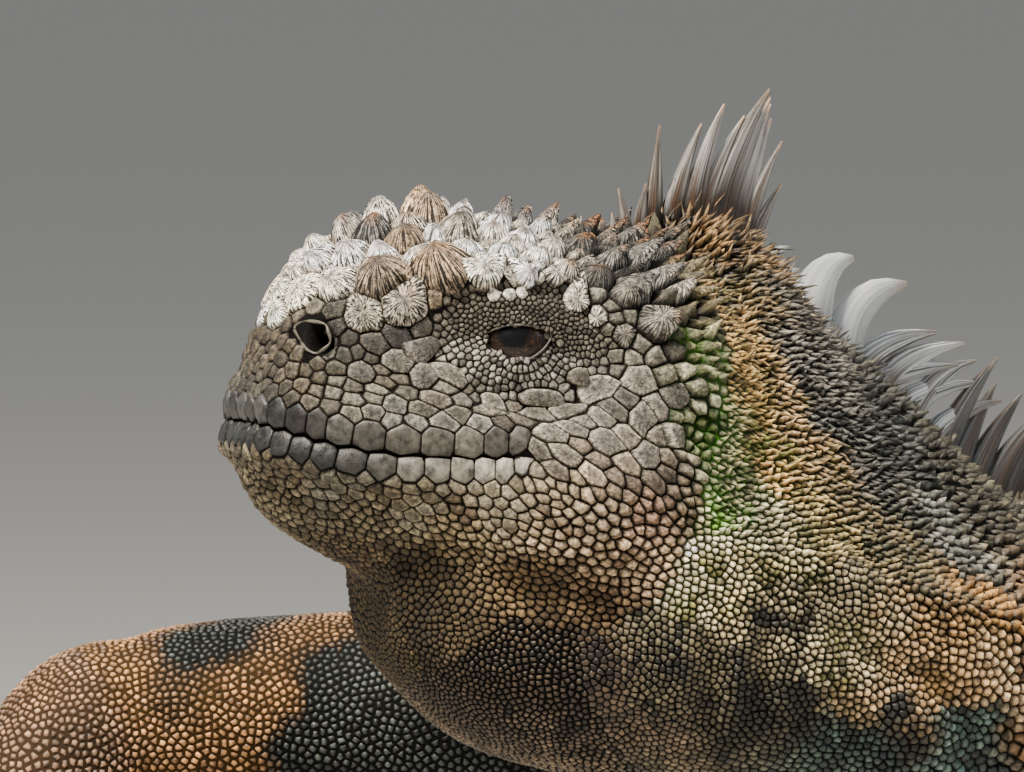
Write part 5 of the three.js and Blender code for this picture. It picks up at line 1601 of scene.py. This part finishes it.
def crest_piece(name, spines, material):
    """One length of the crest, each spine a loft along a curve that bends back."""
    base, middle, end = colours(SPINE_TINTS[name])
    curl = SPINE_CURL.get(name, 1)
    s = np.linspace(0, 1, SPINE_RINGS)
    turn = np.linspace(0, 2 * np.pi, SPINE_SIDES, endpoint=False)
    cos, sin = np.cos(turn), np.sin(turn)
    corners, faces, shade, rise, plane = [], [], [], [], []
    for t, up, back, foot in spines:
        start = body_at(t, MIDLINE)[0]
        ahead = unit((body_at(t + 0.03, MIDLINE) - body_at(t - 0.03, MIDLINE))[0])
        aside = unit(np.cross(ahead, (0, 0, 1)))
        out = np.cross(aside, ahead)
        flat = unit(ahead * (1, 1, 0))
        lean_side = chance.normal(0, 0.05) * up
        line = (start - out * SPINE_ROOT + np.outer(1 - (1 - s) ** curl, (0, 0, up + SPINE_ROOT * 0.9))
                + np.outer(s ** (1.55 * curl), flat * back)
                + np.outer(s ** 2, aside * lean_side) + np.outer(np.sin(s * np.pi), out) * 0.03 * back)
        way = unit(np.gradient(line, axis=0))
        front = unit(np.cross(aside, way))
        half = foot / 2 * np.maximum((1 - s ** 3.2) ** 0.8 * (1 - 0.42 * s), 0.09)
        half = (half * (1 + 0.05 * np.sin(9 * s + t * 5)))[:, None, None]
        ring = (line[:, None] + front[:, None] * (cos[None, :, None] * half)
                + aside * (sin[None, :, None] * half * SPINE_THIN))
        first = sum(len(c) for c in corners)
        tip = first + SPINE_RINGS * SPINE_SIDES
        corners.append(np.concatenate([ring.reshape(-1, 3), line[-1:] + way[-1:] * SPINE_TIP]))
        faces += net_faces(SPINE_RINGS, SPINE_SIDES, first)
        faces += [[tip - SPINE_SIDES + i, tip, tip - SPINE_SIDES + (i + 1) % SPINE_SIDES]
                  for i in range(SPINE_SIDES)]
        faces.append([first + i for i in range(SPINE_SIDES)])
        tone = chance.normal(1, 0.1) * (min(1, 0.6 + up / 28) if name == "nape_crest" else 1)
        tint = np.stack([np.interp(s, [0, 0.25, 0.6, 0.93, 1], five)
                         for five in zip(base, base, middle, middle, end)], 1)
        shade.append(np.concatenate([np.repeat(tint, SPINE_SIDES, 0), end[None]]) * tone)
        rise.append(np.concatenate([np.repeat(s, SPINE_SIDES), [1]]))
        wrap = np.stack([np.tile(cos, SPINE_RINGS) * 1.4, np.tile(sin, SPINE_RINGS),
                         np.repeat(s * 0.8, SPINE_SIDES) + chance.uniform(1, 30)], 1)
        plane.append(np.concatenate([wrap, wrap[-1:]]))
    mesh = mesh_of(name, np.concatenate(corners), faces)
    keep(mesh, tint=np.concatenate(shade), rise=np.concatenate(rise), plane=np.concatenate(plane))
    piece_of(name, mesh, material)


def spine_horn(name, streaks, brown):
    """Smooth dark horn with soft grain along each spine, and worn brown in places."""
    made, tree, shader = new_material(name, Roughness=0.33)
    plane = stored(tree, "plane").outputs["Vector"]
    grain = node(tree, "VectorMath", {"operation": "MULTIPLY"}, _0=plane, _1=(5, 5, 1)).outputs[0]
    lines = noise(tree, grain, 1 / 0.8, 4.0, Roughness=0.6)
    worn = ramp(tree, noise(tree, plane, 1 / 1.1, 3.0), 0.42, 0.58, 0.0, brown)
    own = mixed(tree, worn, stored(tree, "tint").outputs["Color"], linear("#4a341f"))
    shaded = node(tree, "VectorMath", {"operation": "SCALE"}, _0=own,
                  Scale=ramp(tree, lines, 0.38, 0.62, 1 - streaks, 1 + streaks))
    surface(tree, shader, shaded.outputs[0], lines, 0.7)
    return made


horn_spines = spine_horn("crest_horn", 0.72, 0.75)
crest_piece("nape_crest", [s for s in FRONT_SPINES if s[0] < NAPE_TO], horn_spines)
crest_piece("neck_crest", [s for s in FRONT_SPINES if NAPE_TO <= s[0] < NECK_TO],
            spine_horn("pale_crest_horn", 0.12, 0.1))
crest_piece("shoulder_crest", [s for s in FRONT_SPINES if s[0] >= NECK_TO], horn_spines)
for start, end, step, (first, last), lean, foot, name in CREST_RUNS:
    t, spines = start, []
    while t < end:
        share = (t - start) / (end - start)
        tall = (first + (last - first) * share) * chance.normal(1, 0.07)
        spines.append((t, tall, tall * lean, foot * (1 - 0.45 * share * (name == "tail_crest"))))
        ahead = body_at(t + 0.05, MIDLINE) - body_at(t, MIDLINE)
        t += step * 0.05 / float(np.linalg.norm(ahead))
    crest_piece(name, spines, horn_spines)

# The eyes: dark brown, flecked with gold low in the iris, wet and glossy, half shut under heavy
# lids that end in a smooth pale rim.
GAZE = (0.36, 1.0, 0.26)
PUPIL = 1.9
IRIS = 4.4
LID_RIM = 0.15
EYE_GLOSS = 0.04
LID_OVER = 0.55
RIM_SIDES = 8
NOSE_RIM = {"long": 1.65, "high": 2.3, "thick": 0.22, "proud": 0.45}


def hoop(name, points, half, material):
    """A closed cord through points that come back on themselves."""
    way = unit(np.roll(points, -1, 0) - np.roll(points, 1, 0))
    out = unit(points - points.mean(0))
    up = unit(np.cross(way, out))
    out = np.cross(up, way)
    turn = np.linspace(0, 2 * np.pi, RIM_SIDES, endpoint=False)[None, :, None]
    spots = (points[:, None] + (out[:, None] * np.cos(turn) + up[:, None] * np.sin(turn))
             * np.reshape(half, (-1, 1, 1)))
    faces = net_faces(len(points), RIM_SIDES, closed=True)
    piece_of(name, mesh_of(name, spots.reshape(-1, 3), faces), material)


wet, tree, shader = new_material("wet_eye", Roughness=0.35, Specular_IOR_Level=0.15, Coat_Weight=0.4,
                                 Coat_Roughness=EYE_GLOSS)
rays, ring = fanned(tree, stored(tree, "gaze").outputs["Vector"])
gold = ramp(tree, noise(tree, rays, 1 / 4.5, 5.0, Roughness=0.7), 0.5, 0.7)
iris = mixed(tree, gold, linear("#170e09"), linear("#554029"))
seen = mixed(tree, ramp(tree, ring, PUPIL, PUPIL + 0.8), linear("#040303"), iris)
surface(tree, shader, mixed(tree, ramp(tree, ring, IRIS, IRIS + 0.5), seen, linear("#15100c")))

rim_skin, tree, shader = new_material("smooth_rim", Roughness=0.4)
worn = ramp(tree, noise(tree, node(tree, "TexCoord").outputs["Object"], 0.0009, 4.0), 0.35, 0.65)
surface(tree, shader, mixed(tree, worn, linear("#1f1b16"), linear("#6a6356")))

for side, name in ((1, "left"), (-1, "right")):
    centre = np.array([EYE["x"], side * EYE["y"], EYE["z"]])
    ahead = unit(np.array([GAZE[0], side * GAZE[1], GAZE[2]]))
    level = unit(np.cross((0, 0, 1), ahead))
    upright = np.cross(ahead, level)
    globe = bmesh.new()
    bmesh.ops.create_uvsphere(globe, u_segments=48, v_segments=40, radius=EYE["radius"])
    own = np.array([v.co for v in globe.verts])
    spots = from_head(centre + own[:, :1] * level + own[:, 1:2] * upright + own[:, 2:] * ahead)
    for v, p in zip(globe.verts, spots * MM):
        v.co = p
    bmesh.ops.recalc_face_normals(globe, faces=globe.faces)
    mesh = bpy.data.meshes.new("eyeball_" + name)
    globe.to_mesh(mesh)
    globe.free()
    bow = np.arccos(np.clip(own[:, 2:] / EYE["radius"], -1, 1)) * EYE["radius"]
    keep(mesh, gaze=unit(own * (1, 1, 0)) * bow)
    eyeball = piece_of("eyeball_" + name, mesh, wet)
    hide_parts("eye_" + name)
    loop = eye_loop(72)
    off = loop - (EYE["x"], EYE["z"])
    y = EYE["y"] + np.sqrt((EYE["radius"] + LID_OVER) ** 2 - (off ** 2).sum(1))
    edge_points = from_head(np.stack([loop[:, 0], side * y, loop[:, 1]], 1))
    hoop("lid_rim_" + name, edge_points, np.full(72, LID_RIM), rim_skin)
    a = np.linspace(0, 2 * np.pi, 48, endpoint=False)
    ahead = np.cos(a) * (NOSE_RIM["long"] + 0.12 * np.sin(4 * a))
    above = np.sin(a) * (NOSE_RIM["high"] + 0.2 * np.sin(3 * a))
    around = on_side(NOSTRIL["x"] + ahead * 1.7, NOSTRIL["z"] + above * 1.5)
    centre = around.mean(0)
    out = unit(np.cross(around[0] - centre, around[12] - centre))
    out = out * np.sign(out @ (centre - HEAD_OUT[:3, 3]))
    start = centre + (around - centre) / 1.6 + out * NOSE_RIM["proud"]
    if side < 0:
        start = from_head(into_head(start) * (1, -1, 1))
    hoop("nostril_rim_" + name, start, NOSE_RIM["thick"] + 0.06 * np.sin(5 * a), rim_skin)

# The claws: dark worn horn, hooked down to the ground, one on every digit.
CLAW = {"long": 8.5, "radius": 1.8}
# Along a claw: the share of its length, the height and the share of its radius.
CLAW_STEPS = [(-0.1, 3.7, 1.0), (0, 3.7, 1.0), (0.35, 3.7, 0.86), (0.7, 2.7, 0.55), (0.97, 0.9, 0.14)]
CLAW_TINT, CLAW_RISE = "#2c2722", 0.6
claw_horn = horny("claw_horn", 0.05, 0.0018, 0.38, bump=0.2)
for limb, name in zip(limbs, ("hand_right", "hand_left", "foot_right", "foot_left")):
    palm, fingers, claws = extremity(limb)
    nets = []
    for base, along in claws:
        rows = [[*(base + along * s * CLAW["long"])[:2], z, r * CLAW["radius"] * 0.9, r * CLAW["radius"]]
                for s, z, r in CLAW_STEPS]
        nets.append(tube(rows, 12, 4))
    mesh = join_nets(nets)
    mesh.name = "claws_" + name
    mesh.transform(Matrix.Scale(MM, 4))
    spots = np.array([v.co for v in mesh.vertices])
    keep(mesh, tint=np.tile(colours([CLAW_TINT]), (len(spots), 1)), rise=np.full(len(spots), CLAW_RISE),
         plane=spots)
    piece = piece_of("claws_" + name, mesh, claw_horn)
    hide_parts(*("claw_%s_%d" % (name, i) for i in range(1, 6)))
